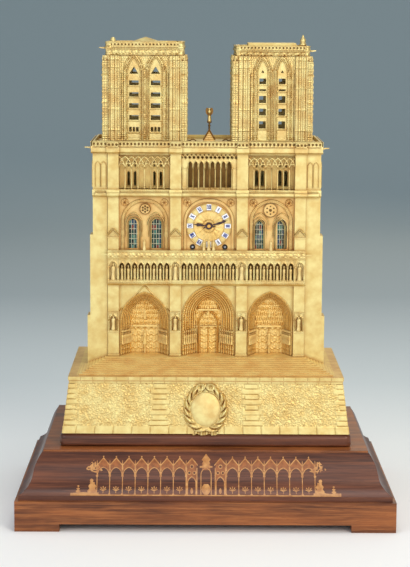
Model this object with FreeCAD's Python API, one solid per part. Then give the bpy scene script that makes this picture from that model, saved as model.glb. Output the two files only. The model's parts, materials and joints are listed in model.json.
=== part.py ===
import FreeCAD, Part
import math
import os

# Gilt cathedral clock on a wooden base. Millimetres, +Z up, front towards -Y, origin under the middle of the base.

# General fits
overrun = 2.0                   # how far a cutting tool runs past what it cuts
pivot_play = 0.06               # radial play of an arbor in its hole
seat_gap = 0.05                 # play round a casting that drops into an opening
air = 0.35                      # gap between pieces that must not touch

# Wooden plinth
base_width = 490.0
base_depth = 330.0
foot_width = 57.5
foot_height = 9.9
plinth_height = 29.4
plinth_board = 18.0
glue_block = 26.0

# Ogee moulding and the boards on it
ogee_inset = 4.7
ogee_nose = 6.7
ogee_height = 50.8
ogee_run = 28.85
ogee_back = 8.0
ogee_turn_shares = (0.395, 0.463)       # where the hollow meets the round, of run and height
ogee_round_shares = (0.215, 0.800)      # a point on the round
ogee_hollow_shares = (0.575, 0.205)     # a point on the hollow
lip_height = 2.9
lip_inset = 1.2
board_below = 12.0
step_half_width = 190.0
step_half_depth = 113.5
step_height = 16.9
step_corner = 8.0
step_round = 6.0
step_under_round = 3.5

# Marquetry arcade in the front ogee
inlay_thick = 0.35
inlay_gap = 0.12                # glue line
inlay_half_width = 158.0
inlay_end = 21.0
inlay_bays = 18
inlay_foot = 1.2
inlay_base = 2.0
inlay_column = 1.1
inlay_spring_share = 0.62       # of the ogee's height
inlay_arch_rise = 5.0
inlay_arch_bar = 1.3
inlay_gable_rise = 12.5
inlay_centre_rise = 16.5

# Terrace
terrace_half_width = 176.9
terrace_half_depth = 102.0
terrace_height = 74.0
terrace_batter = 9.25
terrace_wall = 3.0
course_height = 10.3
course_proud = 0.7
coping_low = 3.3
coping_high = 5.6
coping_proud = 1.4
coping_width = 8.0
deck_thick = 3.0
step_count = 9
platform_rise = 13.4
platform_half_width = 166.0
platform_front = 95.0
side_tread = 3.9
front_tread = 6.3
porch_depth = 32.0

# Medallion on the terrace front
medal_height = 148.3
medal_half_width = 26.5
medal_half_height = 32.0
medal_plate = 2.5
medal_oval_half_width = 17.0
medal_oval_half_height = 19.5
medal_oval_thick = 4.2
medal_ring = 5.2
medal_leaf_count = 18
medal_leaf = 4.0
medal_leaf_thick = 6.6

# Case bolts
bolt_radius = 3.0
bolt_head_radius = 6.5
bolt_head = 3.0
bolt_place_shares = (0.80, 0.74)        # of the terrace's half width and depth
bolt_boss_radius = 9.0
bolt_boss_height = 14.0
bolt_engage = 10.0

# Building: plan
wall_face = 26.0                # bay walls stand this far in front of the middle
wall_thick = 2.5
back_face = 92.0
pillar_face = 33.0
pillar_half_width = 7.2
facade_half_width = 158.5
pillar_place_shares = (-0.781, -0.259, 0.298, 0.783)
side_inset = 10.8               # from the wings' outer face to the side walls' outer face
wing_return = 16.1              # from the side walls' outer face to the wings' inner edge
wing_face = 30.0
wing_depth = 26.0
wing_step = 3.8
buttress_depth = 20.0
buttress_inset = 2.0
buttress_place_shares = (0.50, 0.915)   # of the depth from front to back
gallery_face = 38.0

# Building: storeys, each height measured from the one below
portal_storey = 96.6
ledge_height = 6.2
kings_height = 29.2
band_height = 11.7
window_storey = 70.8
course_band = 9.7
colonnade_storey = 47.8
cornice_height = 16.6
course_overhang = 3.6
course_front_overhang = 10.0
course_bevel = 2.2
cornice_overhang = 5.0
cornice_front_overhang = 12.0
parapet_share = 0.42            # of the cornice's height
parapet_thick = 2.5
pillar_cap_proud = 2.6
wing_stage_shares = (0.24, 0.62)        # heights where the wings step in
roof_thick = 2.0

# Portals
portal_width_share = 0.930      # of the bay
portal_springs = (45.0, 51.0, 48.0)            # height of each springing over the floor
portal_rise_shares = (1.26, 1.26, 1.32)        # rise of each pointed head, of its half width
portal_ring_count = 4
ring_depth = 5.0
door_half_widths = (16.6, 14.2, 15.9)
door_height = 32.0
lintel_height = 6.0
lintel_proud = 1.2
tympanum_thick = 2.0
door_thick = 1.5
hood_width = 1.4
hood_proud = 1.0
relief_row_count = 2
relief_count = 5
relief_radius = 1.5
relief_proud = 1.2

# Figures
jamb_figure = 18.0
jamb_plinth = 15.0
jamb_figure_count = 3
figure_girth_share = 0.30       # of a figure's height
figure_shares = ((0.0, 0.0), (0.50, 0.0), (0.44, 0.10), (0.34, 0.52), (0.46, 0.70), (0.34, 0.81), (0.12, 0.87))
head_share = 0.27               # head radius, of the girth
niche_height = 34.0
niche_figure = 20.0
niche_width_share = 0.62        # of the pillar
niche_depth = 4.2
king_figure = 18.5
king_counts = (8, 9, 7)
king_pier_share = 0.26          # of the pitch
arcade_thick = 2.0
arcade_sill = 1.6
arcade_rise_share = 1.1
arcade_head = 2.6
king_stand = 3.6                # figure axis in front of the wall
balcony_figure = 10.5
balcony_side_figure = 8.0
balcony_spread = 5.2
balcony_stand = 2.8             # figure axis behind the band's front face

# Windows
window_arch_width_share = 0.90  # of the bay
window_spring = 37.3
window_rise = 29.6
window_ring = 3.0
window_ring_proud = 1.6
set_off_height = 18.5
set_off_rise = 7.0
set_off_proud = 1.5
lancet_half_width = 6.6
lancet_place_share = 0.235      # of the bay
lancet_spring = 34.0
lancet_rise = 7.0
lancet_sill = 1.4
rosette_rise = 54.0
rosette_radii = (5.6, 7.6)
glass_thick = 1.0
glass_lap = 2.0
post_boss = 4.4

# Colonnade
colonnade_wall_back = 10.0      # the pierced wall lies this far behind the bay walls' face
colonnade_plate = 2.0
colonnade_counts = (8, 8, 8)
colonnade_column_share = 0.22   # of the pitch
colonnade_sill = 3.4
colonnade_head = 3.0
colonnade_rise_share = 1.3
colonnade_face = 31.0
slot_half_width = 2.2
slot_low = 4.0
slot_height = 33.0
slot_numbers = (2, 3, 6, 7)

# Towers
tower_height = 111.1
tower_depth = 108.0
tower_front = 28.0
tower_overhang = 6.6            # beyond the outer faces of the pillars below
tower_wall = 2.2
tower_wall_inset = 7.0
pier_width = 20.0
pier_inset = 2.4
outer_pier_width = 7.0
outer_pier_share = 0.94         # of the tower's height
pier_rib = 3.2
pier_rib_proud = 1.4
pier_rib_share = 0.68           # of the pier's width
tower_cornice = 18.1
tower_cornice_drops = (0.0, 4.6)        # how much lower each tower's cornice ends
tower_cornice_set = 4.1             # how far its face stands behind the outer piers
tower_cornice_flare = 1.6
tower_rail_set = 0.6
roof_play = 0.4                 # between a rail and the roof slab inside it
opening_pitch_shares = (0.258, 0.243)   # from the tower's middle, of its half width
left_half_width = 6.3
right_half_width = 4.6
left_row_shares = ((0.102, 0.056), (0.241, 0.056), (0.382, 0.056), (0.517, 0.050), (0.651, 0.056))
right_row_shares = ((0.147, 0.086), (0.302, 0.080), (0.449, 0.083), (0.590, 0.022), (0.672, 0.066))
left_top_shares = (0.785, 0.086)
right_top_shares = (0.804, 0.033)
top_width_shares = (0.95, 0.48)         # of the rows below
tower_panel_half_share = 0.225          # of the tower's width, for the pointed frames
tower_panel_spring_share = 0.78
tower_panel_rise = 21.0
tower_panel_ring = 2.2
tower_panel_proud = 1.4
roof_rise = 11.4
low_roof_rise = 7.0
roof_inset = 13.0
pinnacle_height = 16.0
pinnacle_radius = 2.6
gargoyle_length = 9.0
gargoyle_thick = 2.2
gable_half_width = 8.4
gable_height = 14.4
gable_thick = 5.0
gable_setback = 30.0
finial_height = 27.0
finial_radius = 2.6
finial_stem_share = 0.35

# Dial and hands
dial_margin = 0.2               # inside the middle bay's pointed frame
dial_thick = 2.0
dial_rise = 32.0                # dial centre above the window storey's foot
plaque_count = 12
plaque_width = 6.1
plaque_height = 8.4
plaque_margin = 0.6             # from the plaques to the dial's edge
plaque_thick = 0.8
pipe_hole = 3.7
winding_spread = 21.5
winding_drop = 28.4
collet_radius = 2.9
collet_flange = 3.5
collet_bore = 2.3
collet_proud = 1.0
hand_thick = 0.7
hand_space = 0.9
hour_hand_share = 0.73          # of the dial's radius
minute_hand_share = 0.91
hand_tail = 7.5
hand_width = 1.5
hand_spade = 2.4
hand_waist_share = 0.7          # of the half width, under the spade
hand_neck_share = 0.4           # of the half width, over the spade
hand_neck_rise_share = 1.4      # of the spade
hand_boss_wall = 1.2
hour_hand_angle = 276.0
minute_hand_angle = 72.0
hour_spade_share = 0.66         # of the hand's length
minute_spade_share = 0.74

# Movement plates
front_plate_face = 10.0         # in front of the middle
plate_gap = 38.0
plate_thick = 2.0
plate_radius = 54.0
post_radius = 2.3
post_ring = 49.5
post_angles = (2.0, 62.0, 118.0, 178.0, 270.0)
nut_radius = 3.6
nut_height = 2.4
arbor_radius = 0.8
centre_radius = 1.5
barrel_arbor = 2.2
square_half = 1.2
spoke_count = 5
rim_share = 0.84
hub_share = 0.20
spoke_width_share = 0.07
addendum_share = 0.60
dedendum_share = 0.85
root_share = 0.25
tip_share = 0.10

# Going train
barrel_teeth = 78
barrel_module = 0.46
barrel_drum = 16.0
barrel_front = 0.0
barrel_length = 16.0
wheel_thick = 1.6
large_pinion_teeth = 12
pinion_reach = 4.5
intermediate_teeth = 76
intermediate_module = 0.42
intermediate_plane = -4.6
centre_teeth = 96
centre_module = 0.35
centre_plane = 24.0
small_pinion_teeth = 8
third_teeth = 100
third_module = 0.32
third_plane = 11.0
escape_teeth = 30
escape_radius = 8.5
escape_tooth_height = 1.6
escape_tooth_shares = ((0, 0), (1, 0.62), (1, 0.72), (0, 0.84))
escape_plane = 19.0
escape_rise = 29.0
pivot_rise = 42.0

# Striking train
pin_teeth = 72
pin_module = 0.36
pin_plane = 21.4
pin_bearing = 115.0
lift_pin_count = 8
lift_pin_radius = 0.6
lift_pin_length = 3.0
warning_teeth = 64
warning_module = 0.32
warning_plane = 7.0
warning_bearing = 75.0
fly_bearing = 80.0
fly_front = 12.5
fly_length = 13.0
fly_half_width = 7.0
fly_thick = 0.6

# Motion work
cannon_bore_play = 0.06
cannon_wall = 0.65
cannon_teeth = 12
cannon_module = 0.50
cannon_plane = -13.6
minute_teeth = 36
hour_teeth = 40
minute_pinion_teeth = 10
hour_plane = -17.2
motion_thick = 1.3
hour_pipe_wall = 0.9
motion_bearing = 200.0

# Anchor, pendulum, bell and hammer
pallet_reach = 8.6
pallet_drop = 6.9
anchor_bar = 1.8
anchor_hub = 2.4
crutch_length = 33.0
crutch_width = 3.0
crutch_thick = 1.4
fork_gap = 0.4
fork_arm = 1.2
cock_width = 14.0
cock_height = 5.0
cock_low = 4.5
spring_width = 5.0
spring_thick = 0.3
spring_length = 9.0
hook_gap = 0.6
rod_radius = 1.0
rod_plane = 42.0
pendulum_length = 159.0
bob_radius = 21.0
bob_thick = 8.0
bob_edge = 2.4
bell_radius = 36.0
bell_depth = 18.0
bell_wall = 1.6
bell_mouth = 53.0
bell_crown_share = 0.72
bell_swell_shares = (0.95, 0.62)       # radius and depth of the curve's middle point
stand_radius = 2.2
stand_side = 42.0
hammer_place = (-38.0, 24.0)
hammer_bearing = 108.0
hammer_head_radius = 3.6
hammer_head_length = 7.0
hammer_head_share = 0.55        # of its radius, behind the arm
hammer_gap = 1.0
hammer_arm = 2.4

# Rear door
door_half_width = 52.0
door_low = 236.0
door_high = 414.0
door_lap = 3.0
door_plate = 2.0
hinge_radius = 2.4
hinge_pin = 1.0
hinge_eye = 8.0
hinge_side_eye = 6.0
hinge_place_shares = (0.14, 0.86)
knob_radius = 4.0
knob_length = 8.0

# Heights and places that follow
plinth_top = foot_height + plinth_height
nose_top = plinth_top + ogee_nose
ogee_top = nose_top + ogee_height
board_top = ogee_top + lip_height
terrace_foot = board_top + step_height
deck_top = terrace_foot + terrace_height
floor_top = deck_top + platform_rise
ledge_foot = floor_top + portal_storey
kings_foot = ledge_foot + ledge_height
band_foot = kings_foot + kings_height
window_foot = band_foot + band_height
string_foot = window_foot + window_storey
colonnade_foot = string_foot + course_band
cornice_foot = colonnade_foot + colonnade_storey
tower_foot = cornice_foot + cornice_height
cornice_line = tower_foot + tower_height
plateau_half_width = base_width / 2 - ogee_inset - ogee_run
plateau_half_depth = base_depth / 2 - ogee_inset - ogee_run
side_half_width = facade_half_width - side_inset
wing_inner = side_half_width - wing_return
pillar_places = [share * facade_half_width for share in pillar_place_shares]
bay_edges = [(left + pillar_half_width, right - pillar_half_width)
             for left, right in zip(pillar_places, pillar_places[1:])]
bay_centres = [(left + right) / 2 for left, right in bay_edges]
bay_widths = [right - left for left, right in bay_edges]
dial_x = bay_centres[1]
dial_radius = window_arch_width_share * bay_widths[1] / 2 - window_ring - dial_margin
plaque_ring = dial_radius - plaque_margin - plaque_height / 2
dial_z = window_foot + dial_rise
wall_back = -wall_face + wall_thick
dial_face = -wall_face - dial_thick
front_plate = -front_plate_face
back_plate = front_plate + plate_thick + plate_gap
movement_back = back_plate + plate_thick


def vec(x, y, z):
    return FreeCAD.Vector(x, y, z)


def box(x0, x1, y0, y1, z0, z1):
    return Part.makeBox(x1 - x0, y1 - y0, z1 - z0, vec(x0, y0, z0))


def rod_y(x, z, radius, y0, y1):
    return Part.makeCylinder(radius, y1 - y0, vec(x, y0, z), vec(0, 1, 0))


def rod_z(x, y, radius, z0, z1):
    return Part.makeCylinder(radius, z1 - z0, vec(x, y, z0), vec(0, 0, 1))


def rod_x(y, z, radius, x0, x1):
    return Part.makeCylinder(radius, x1 - x0, vec(x0, y, z), vec(1, 0, 0))


def prism_y(points, y0, y1):
    """A flat outline of (x, z) points carried from y0 to y1."""
    wire = Part.makePolygon([vec(x, y0, z) for x, z in list(points) + [points[0]]])
    return Part.Face(wire).extrude(vec(0, y1 - y0, 0))


def prism_x(points, x0, x1):
    """A flat outline of (y, z) points carried from x0 to x1."""
    wire = Part.makePolygon([vec(x0, y, z) for y, z in list(points) + [points[0]]])
    return Part.Face(wire).extrude(vec(x1 - x0, 0, 0))


def prism_z(points, z0, z1):
    wire = Part.makePolygon([vec(x, y, z0) for x, y in list(points) + [points[0]]])
    return Part.Face(wire).extrude(vec(0, 0, z1 - z0))


def fused(shapes):
    shapes = list(shapes)
    if len(shapes) == 1:
        return shapes[0]
    return shapes[0].multiFuse(shapes[1:]).removeSplitter()


def group(shapes):
    solids = []
    for shape in shapes:
        solids.extend(shape.Solids)
    return Part.makeCompound(solids)


def pointed_arch(centre, half, low, spring, rise, y0, y1):
    """Upright opening with a two-centred pointed head, as a solid from y0 to y1."""
    radius = (half * half + rise * rise) / (2 * half)
    turn = math.atan2(rise, radius - half) / 2
    mid_x = radius * math.cos(turn) - (radius - half)
    mid_z = radius * math.sin(turn)
    left, right = centre - half, centre + half
    apex = vec(centre, y0, spring + rise)
    edges = [
        Part.makeLine(vec(left, y0, low), vec(right, y0, low)),
        Part.makeLine(vec(right, y0, low), vec(right, y0, spring)),
        Part.Arc(vec(right, y0, spring), vec(centre + mid_x, y0, spring + mid_z), apex).toShape(),
        Part.Arc(apex, vec(centre - mid_x, y0, spring + mid_z), vec(left, y0, spring)).toShape(),
        Part.makeLine(vec(left, y0, spring), vec(left, y0, low)),
    ]
    return Part.Face(Part.Wire(edges)).extrude(vec(0, y1 - y0, 0))


def mitred_frame(profile, half_width, half_depth):
    """Four strips round a rectangle. The profile face lies in the plane x = 0, with the rectangle's
    edge at y = 0, outwards towards -y."""
    bounds = profile.BoundBox
    outward = -bounds.YMin + overrun
    inward = bounds.YMax + overrun
    low, high = bounds.ZMin - overrun, bounds.ZMax + overrun
    strips = []
    for index in range(4):
        run, reach = (half_width, half_depth) if index % 2 == 0 else (half_depth, half_width)
        strip = profile.copy()
        strip.translate(vec(-run - outward, -reach, 0))
        strip = strip.extrude(vec(2 * (run + outward), 0, 0))
        wedge = prism_z([(-run - outward, -reach - outward), (run + outward, -reach - outward),
                         (run - inward, -reach + inward), (-run + inward, -reach + inward)], low, high)
        strip = strip.common(wedge)
        strip.rotate(vec(0, 0, 0), vec(0, 0, 1), 90 * index)
        strips.append(strip)
    return strips


def profile_face(points):
    return Part.Face(Part.makePolygon([vec(0, y, z) for y, z in list(points) + [points[0]]]))


def figure(x, y, z, height):
    """A plain robed figure turned about its own upright axis."""
    girth = figure_girth_share * height
    points = [vec(share_r * girth, 0, share_z * height) for share_r, share_z in figure_shares]
    head = head_share * girth
    neck = points[-1].z
    points.append(vec(0, 0, neck))
    robe = Part.Face(Part.makePolygon(points + [points[0]])).revolve(vec(0, 0, 0), vec(0, 0, 1), 360)
    solid = robe.fuse(Part.makeSphere(head, vec(0, 0, height - head)))
    solid.translate(vec(x, y, z))
    return solid


def ogee_edges(shift):
    """The hollow and the round of the front ogee at x = 0, moved forwards by shift."""
    front = -plateau_half_depth - shift

    def at(shares):
        return vec(0, front - shares[0] * ogee_run, nose_top + shares[1] * ogee_height)

    foot, turn, top = at((1, 0)), at(ogee_turn_shares), at((0, 1))
    hollow = Part.Arc(foot, at(ogee_hollow_shares), turn).toShape()
    rounded = Part.Arc(turn, at(ogee_round_shares), top).toShape()
    return hollow, rounded


def plinth_frame():
    """Four mitred boards, a two-part bracket foot under each corner and a glue block in each corner."""
    half_x, half_y = base_width / 2, base_depth / 2
    pieces = mitred_frame(profile_face([(0, foot_height), (plinth_board, foot_height), (plinth_board, plinth_top),
                                        (0, plinth_top)]), half_x, half_y)
    inner_x, inner_y = half_x - plinth_board, half_y - plinth_board
    for side_x in (-1, 1):
        for side_y in (-1, 1):
            outer, inner = (side_x * half_x, side_y * half_y), (side_x * inner_x, side_y * inner_y)
            end_x, end_y = side_x * (half_x - foot_width), side_y * (half_y - foot_width)
            pieces.append(prism_z([outer, inner, (end_x, inner[1]), (end_x, outer[1])], 0, foot_height))
            pieces.append(prism_z([outer, inner, (inner[0], end_y), (outer[0], end_y)], 0, foot_height))
            pieces.append(prism_z([inner, (inner[0] - side_x * glue_block, inner[1]),
                                   (inner[0], inner[1] - side_y * glue_block)], foot_height, plinth_top))
    return group(pieces)


def ogee_moulding():
    hollow, rounded = ogee_edges(0)
    front = -plateau_half_depth
    foot = vec(0, front - ogee_run, nose_top)
    low_front = vec(0, front - ogee_run, plinth_top)
    low_back = vec(0, front + ogee_back, plinth_top)
    high_back = vec(0, front + ogee_back, ogee_top)
    top = vec(0, front, ogee_top)
    edges = [Part.makeLine(low_back, low_front), Part.makeLine(low_front, foot), hollow, rounded,
             Part.makeLine(top, high_back), Part.makeLine(high_back, low_back)]
    face = Part.Face(Part.Wire(Part.__sortEdges__(edges)))
    face.translate(vec(0, -front, 0))
    return group(mitred_frame(face, plateau_half_width, plateau_half_depth))


def carrying_board():
    lip_x, lip_y = plateau_half_width - lip_inset, plateau_half_depth - lip_inset
    low_x, low_y = plateau_half_width - ogee_back, plateau_half_depth - ogee_back
    board = fused([box(-lip_x, lip_x, -lip_y, lip_y, ogee_top, board_top),
                   box(-low_x, low_x, -low_y, low_y, ogee_top - board_below, ogee_top)])
    return board.cut(bolt_holes())


def torus_step():
    board = box(-step_half_width, step_half_width, -step_half_depth, step_half_depth, board_top, terrace_foot)
    upright = [edge for edge in board.Edges if abs(edge.BoundBox.ZLength - step_height) < seat_gap]
    board = board.makeFillet(step_corner, upright)
    top = [edge for edge in board.Edges if edge.BoundBox.ZMin > terrace_foot - seat_gap]
    board = board.makeFillet(step_round, top)
    low = [edge for edge in board.Edges if edge.BoundBox.ZMax < board_top + seat_gap]
    board = board.makeFillet(step_under_round, low)
    return board.cut(bolt_holes())


def marquetry_inlay():
    """A gabled arcade seen from the front, cut out of a thin skin on the ogee."""
    near, far = ogee_edges(inlay_gap), ogee_edges(inlay_gap + inlay_thick)
    foot, top = near[0].Vertexes[0].Point, near[1].Vertexes[-1].Point
    shift = vec(0, -inlay_thick, 0)
    edges = [near[0], near[1], far[0], far[1], Part.makeLine(foot, foot + shift), Part.makeLine(top, top + shift)]
    skin = Part.Face(Part.Wire(Part.__sortEdges__(edges)))
    half = inlay_half_width + inlay_end
    skin.translate(vec(-half, 0, 0))
    skin = skin.extrude(vec(2 * half, 0, 0))
    y0, y1 = -base_depth / 2, -plateau_half_depth + overrun
    base_low = nose_top + inlay_foot
    base_high = base_low + inlay_base
    spring = nose_top + inlay_spring_share * ogee_height
    pieces = [box(-half, half, y0, y1, base_low, base_high)]
    pitch = 2 * inlay_half_width / inlay_bays
    for index in range(inlay_bays + 1):
        x = -inlay_half_width + index * pitch
        pieces.append(box(x - inlay_column / 2, x + inlay_column / 2, y0, y1, base_high, spring + inlay_arch_rise))
    for index in range(inlay_bays):
        x = -inlay_half_width + (index + 0.5) * pitch
        central = index in (inlay_bays // 2, inlay_bays // 2 - 1)
        rise = inlay_centre_rise if central else inlay_gable_rise
        gable = prism_y([(x - pitch / 2, spring), (x + pitch / 2, spring), (x, spring + rise)], y0, y1)
        hollow = pointed_arch(x, pitch / 2 - inlay_arch_bar, spring - overrun, spring, inlay_arch_rise,
                              y0 - overrun, y1 + overrun)
        pieces.append(gable.cut(hollow))
    return group([fused(pieces).common(skin)])


def bolt_places():
    for side_x in (-1, 1):
        for side_y in (-1, 1):
            yield (side_x * bolt_place_shares[0] * terrace_half_width,
                   side_y * bolt_place_shares[1] * terrace_half_depth)


def bolt_holes():
    radius = bolt_radius + pivot_play
    return group([rod_z(x, y, radius, plinth_top, deck_top - deck_thick) for x, y in bolt_places()])


def case_bolts():
    low = ogee_top - board_below
    high = deck_top - deck_thick - bolt_boss_height + bolt_engage
    bolts = []
    for x, y in bolt_places():
        bolts.append(fused([rod_z(x, y, bolt_head_radius, low - bolt_head, low),
                            rod_z(x, y, bolt_radius, low, high)]))
    return group(bolts)


def terrace_walls():
    """Battered walls with a plain course along the foot; the coping covers their top."""
    low, high = terrace_foot, deck_top - coping_low - coping_high
    slope = terrace_batter / terrace_height

    def outward(z):
        return -slope * (deck_top - z)

    course_top = low + course_height
    points = [(outward(low) - course_proud, low), (outward(low) + terrace_wall, low),
              (outward(high) + terrace_wall, high), (outward(high), high), (outward(course_top), course_top),
              (outward(course_top) - course_proud, course_top)]
    return group(mitred_frame(profile_face(points), terrace_half_width, terrace_half_depth))


def terrace_coping():
    low = deck_top - coping_low - coping_high
    mid = deck_top - coping_high
    points = [(-coping_proud, low), (coping_width, low), (coping_width, deck_top),
              (-coping_proud - course_proud, deck_top), (-coping_proud - course_proud, mid), (-coping_proud, mid)]
    return group(mitred_frame(profile_face(points), terrace_half_width, terrace_half_depth))


def terrace_deck():
    """Deck plate, mitred flights of steps, the porch floor and the bosses for the case bolts."""
    half_x, half_y = terrace_half_width - coping_width, terrace_half_depth - coping_width
    pieces = [box(-half_x, half_x, -half_y, half_y, deck_top - deck_thick, deck_top)]
    rise = platform_rise / step_count
    for index in range(step_count):
        half = platform_half_width - index * side_tread
        front = platform_front - index * front_tread
        z = deck_top + index * rise
        pieces.append(box(-half, half, -front, -wing_face, z, z + rise))
    pieces.append(box(-wing_inner, wing_inner, -wing_face, -wing_face + porch_depth, deck_top, floor_top))
    deck = fused(pieces)
    bosses = [rod_z(x, y, bolt_boss_radius, deck_top - deck_thick - bolt_boss_height, deck_top - deck_thick)
              for x, y in bolt_places()]
    deck = fused([deck] + bosses)
    low = deck_top - deck_thick - bolt_boss_height
    holes = [rod_z(x, y, bolt_radius + pivot_play, low - overrun, low + bolt_engage) for x, y in bolt_places()]
    return deck.cut(group(holes))


def ellipse_plate(half_x, half_z, thick):
    """An oval plate in the plane y = 0 that reaches forwards by its thickness."""
    long_first = half_x >= half_z
    major, minor = (half_x, half_z) if long_first else (half_z, half_x)
    axis = vec(major, 0, 0) if long_first else vec(0, 0, major)
    across = vec(0, 0, minor) if long_first else vec(minor, 0, 0)
    oval = Part.Ellipse(axis, across, vec(0, 0, 0)).toShape()
    return Part.Face(Part.Wire([oval])).extrude(vec(0, -thick, 0))


def medallion():
    ring = ellipse_plate(medal_half_width, medal_half_height, medal_ring)
    hollow = ellipse_plate(medal_half_width - medal_leaf * 2, medal_half_height - medal_leaf * 2,
                           medal_ring + overrun)
    hollow.translate(vec(0, -medal_plate, 0))
    shape = ring.cut(hollow)
    shape = shape.fuse(ellipse_plate(medal_oval_half_width, medal_oval_half_height, medal_oval_thick))
    wreath_leaves = []
    for index in range(medal_leaf_count):
        angle = 2 * math.pi * index / medal_leaf_count
        x = (medal_half_width - medal_leaf) * math.cos(angle)
        z = (medal_half_height - medal_leaf) * math.sin(angle)
        wreath_leaves.append(rod_y(x, z, medal_leaf, -medal_leaf_thick, -medal_plate / 2))
    shape = fused([shape] + wreath_leaves)
    tilt = math.degrees(math.atan2(terrace_batter, terrace_height))
    shape.rotate(vec(0, 0, 0), vec(1, 0, 0), -tilt)
    front = -terrace_half_depth - terrace_batter * (deck_top - medal_height) / terrace_height
    shape.translate(vec(0, front - course_proud, medal_height))
    return shape


def side_walls():
    depth = (wall_back, back_face - wall_thick)
    walls = []
    for side in (-1, 1):
        edges = sorted((side * side_half_width, side * (side_half_width - wall_thick)))
        walls.append(box(edges[0], edges[1], depth[0], depth[1], deck_top, cornice_foot))
    return group(walls)


def back_wall():
    wall = box(-side_half_width, side_half_width, back_face - wall_thick, back_face, deck_top, cornice_foot)
    hole = box(dial_x - door_half_width, dial_x + door_half_width, back_face - wall_thick - overrun,
               back_face + overrun, door_low, door_high)
    pieces = [wall.cut(hole)]
    hinge_x, hinge_y = hinge_axis()
    for z in hinge_heights():
        low = z - hinge_eye / 2 - air
        high = z + hinge_eye / 2 + air
        for foot, head in ((low - hinge_side_eye, low), (high, high + hinge_side_eye)):
            pieces.append(rod_z(hinge_x, hinge_y, hinge_radius, foot, head))
            pieces.append(box(hinge_x - hinge_radius, hinge_x, back_face - wall_thick / 2, hinge_y, foot, head))
        pieces.append(rod_z(hinge_x, hinge_y, hinge_pin, low - hinge_side_eye, high + hinge_side_eye))
    return fused(pieces)


def hinge_axis():
    return (dial_x - door_half_width - door_lap - hinge_radius - air,
            back_face + air + hinge_radius)


def hinge_heights():
    return [door_low + share * (door_high - door_low) for share in hinge_place_shares]


def rear_door():
    """Brass door on two hinges, outside the back wall's opening."""
    face = back_face + air
    plate = box(dial_x - door_half_width - door_lap, dial_x + door_half_width + door_lap, face, face + door_plate,
                door_low - door_lap, door_high + door_lap)
    hinge_x, hinge_y = hinge_axis()
    pieces = [plate]
    for z in hinge_heights():
        low, high = z - hinge_eye / 2, z + hinge_eye / 2
        eye = rod_z(hinge_x, hinge_y, hinge_radius, low, high)
        tab = box(hinge_x, dial_x - door_half_width - door_lap + overrun, face + air, face + door_plate, low, high)
        pieces += [eye, tab]
    knob_x = dial_x + door_half_width - knob_radius
    knob_z = (door_low + door_high) / 2
    pieces.append(rod_y(knob_x, knob_z, knob_radius / 2, face, face + door_plate + knob_length))
    pieces.append(rod_y(knob_x, knob_z, knob_radius, face + door_plate + knob_length / 2,
                        face + door_plate + knob_length))
    door = fused(pieces)
    holes = [rod_z(hinge_x, hinge_y, hinge_pin + pivot_play, z - hinge_eye, z + hinge_eye) for z in hinge_heights()]
    return door.cut(group(holes))


def buttress_pillars():
    """Four facade pillars, the stepped wings at the corners and the buttresses along the sides."""
    pieces = []
    for x in pillar_places:
        left, right = x - pillar_half_width, x + pillar_half_width
        lower = box(left, right, -pillar_face, -wall_face, floor_top, ledge_foot)
        niche_x = niche_width_share * pillar_half_width
        hole = pointed_arch(x, niche_x, floor_top + niche_height, floor_top + niche_height + niche_figure,
                            niche_x, -pillar_face - overrun, -pillar_face + niche_depth)
        pieces.append(lower.cut(hole))
        shaft = box(left, right, -pillar_face, -wall_face, window_foot, string_foot)
        shoulder = window_foot + set_off_height
        gablet = prism_y([(left, window_foot), (right, window_foot), (right, shoulder), (x, shoulder + set_off_rise),
                          (left, shoulder)], -pillar_face - set_off_proud, -wall_face)
        pieces.append(fused([shaft, gablet]))
        pieces.append(box(left, right, -pillar_face, -wall_face, colonnade_foot, cornice_foot))
    stages = [deck_top] + [deck_top + share * (cornice_foot - deck_top) for share in wing_stage_shares]
    stages.append(string_foot)
    for side in (-1, 1):
        for index in range(3):
            pieces.append(wing_stage(side, facade_half_width - index * wing_step, stages[index], stages[index + 1]))
        pieces.append(wing_stage(side, facade_half_width - 2 * wing_step, colonnade_foot, cornice_foot))
        for share in buttress_place_shares:
            start = -wall_face + share * (back_face + wall_face) - buttress_depth / 2
            start = min(start, back_face - buttress_depth)
            for index, (low, high) in enumerate(zip(stages, stages[1:])):
                outer = facade_half_width - buttress_inset - index * wing_step
                edges = sorted((side * side_half_width, side * outer))
                pieces.append(box(edges[0], edges[1], start, start + buttress_depth, low, high))
    return group(pieces)


def wing_stage(side, outer, low, high):
    """One stage of a corner wing: in front of the bay walls and along the side wall."""
    inner = pillar_places[3] + pillar_half_width if side > 0 else -pillar_places[0] + pillar_half_width
    front = sorted((side * max(inner, wing_inner), side * outer))
    flank = sorted((side * side_half_width, side * outer))
    return fused([box(front[0], front[1], -wing_face, -wall_face, low, high),
                  box(flank[0], flank[1], -wall_face, -wing_face + wing_depth, low, high)])


def portal_half(index):
    return portal_width_share * bay_widths[index] / 2


def portal_wall():
    """The sheet behind pillars and gallery, with an opening for each portal and a hood round it."""
    wall = box(-side_half_width, side_half_width, -wall_face, wall_back, floor_top, window_foot)
    hoods = []
    for index, centre in enumerate(bay_centres):
        half = portal_half(index)
        spring = floor_top + portal_springs[index]
        rise = portal_rise_shares[index] * half
        wall = wall.cut(pointed_arch(centre, half, floor_top - overrun, spring, rise,
                                     -wall_face - overrun, wall_back + overrun))
        hoods.append(hood_ring(centre, half, spring, rise))
    return fused([wall] + hoods)


def hood_ring(centre, half, spring, rise):
    """A slim moulding that follows the pointed head of an opening."""
    y0, y1 = -wall_face - hood_proud, -wall_face + hood_proud
    edge = min(half + hood_width, half / portal_width_share)
    low = spring - hood_width
    ring = pointed_arch(centre, edge, low, spring, rise + hood_width, y0, y1)
    return ring.cut(pointed_arch(centre, half, low - overrun, spring, rise, y0 - overrun, y1 + overrun))


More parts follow.
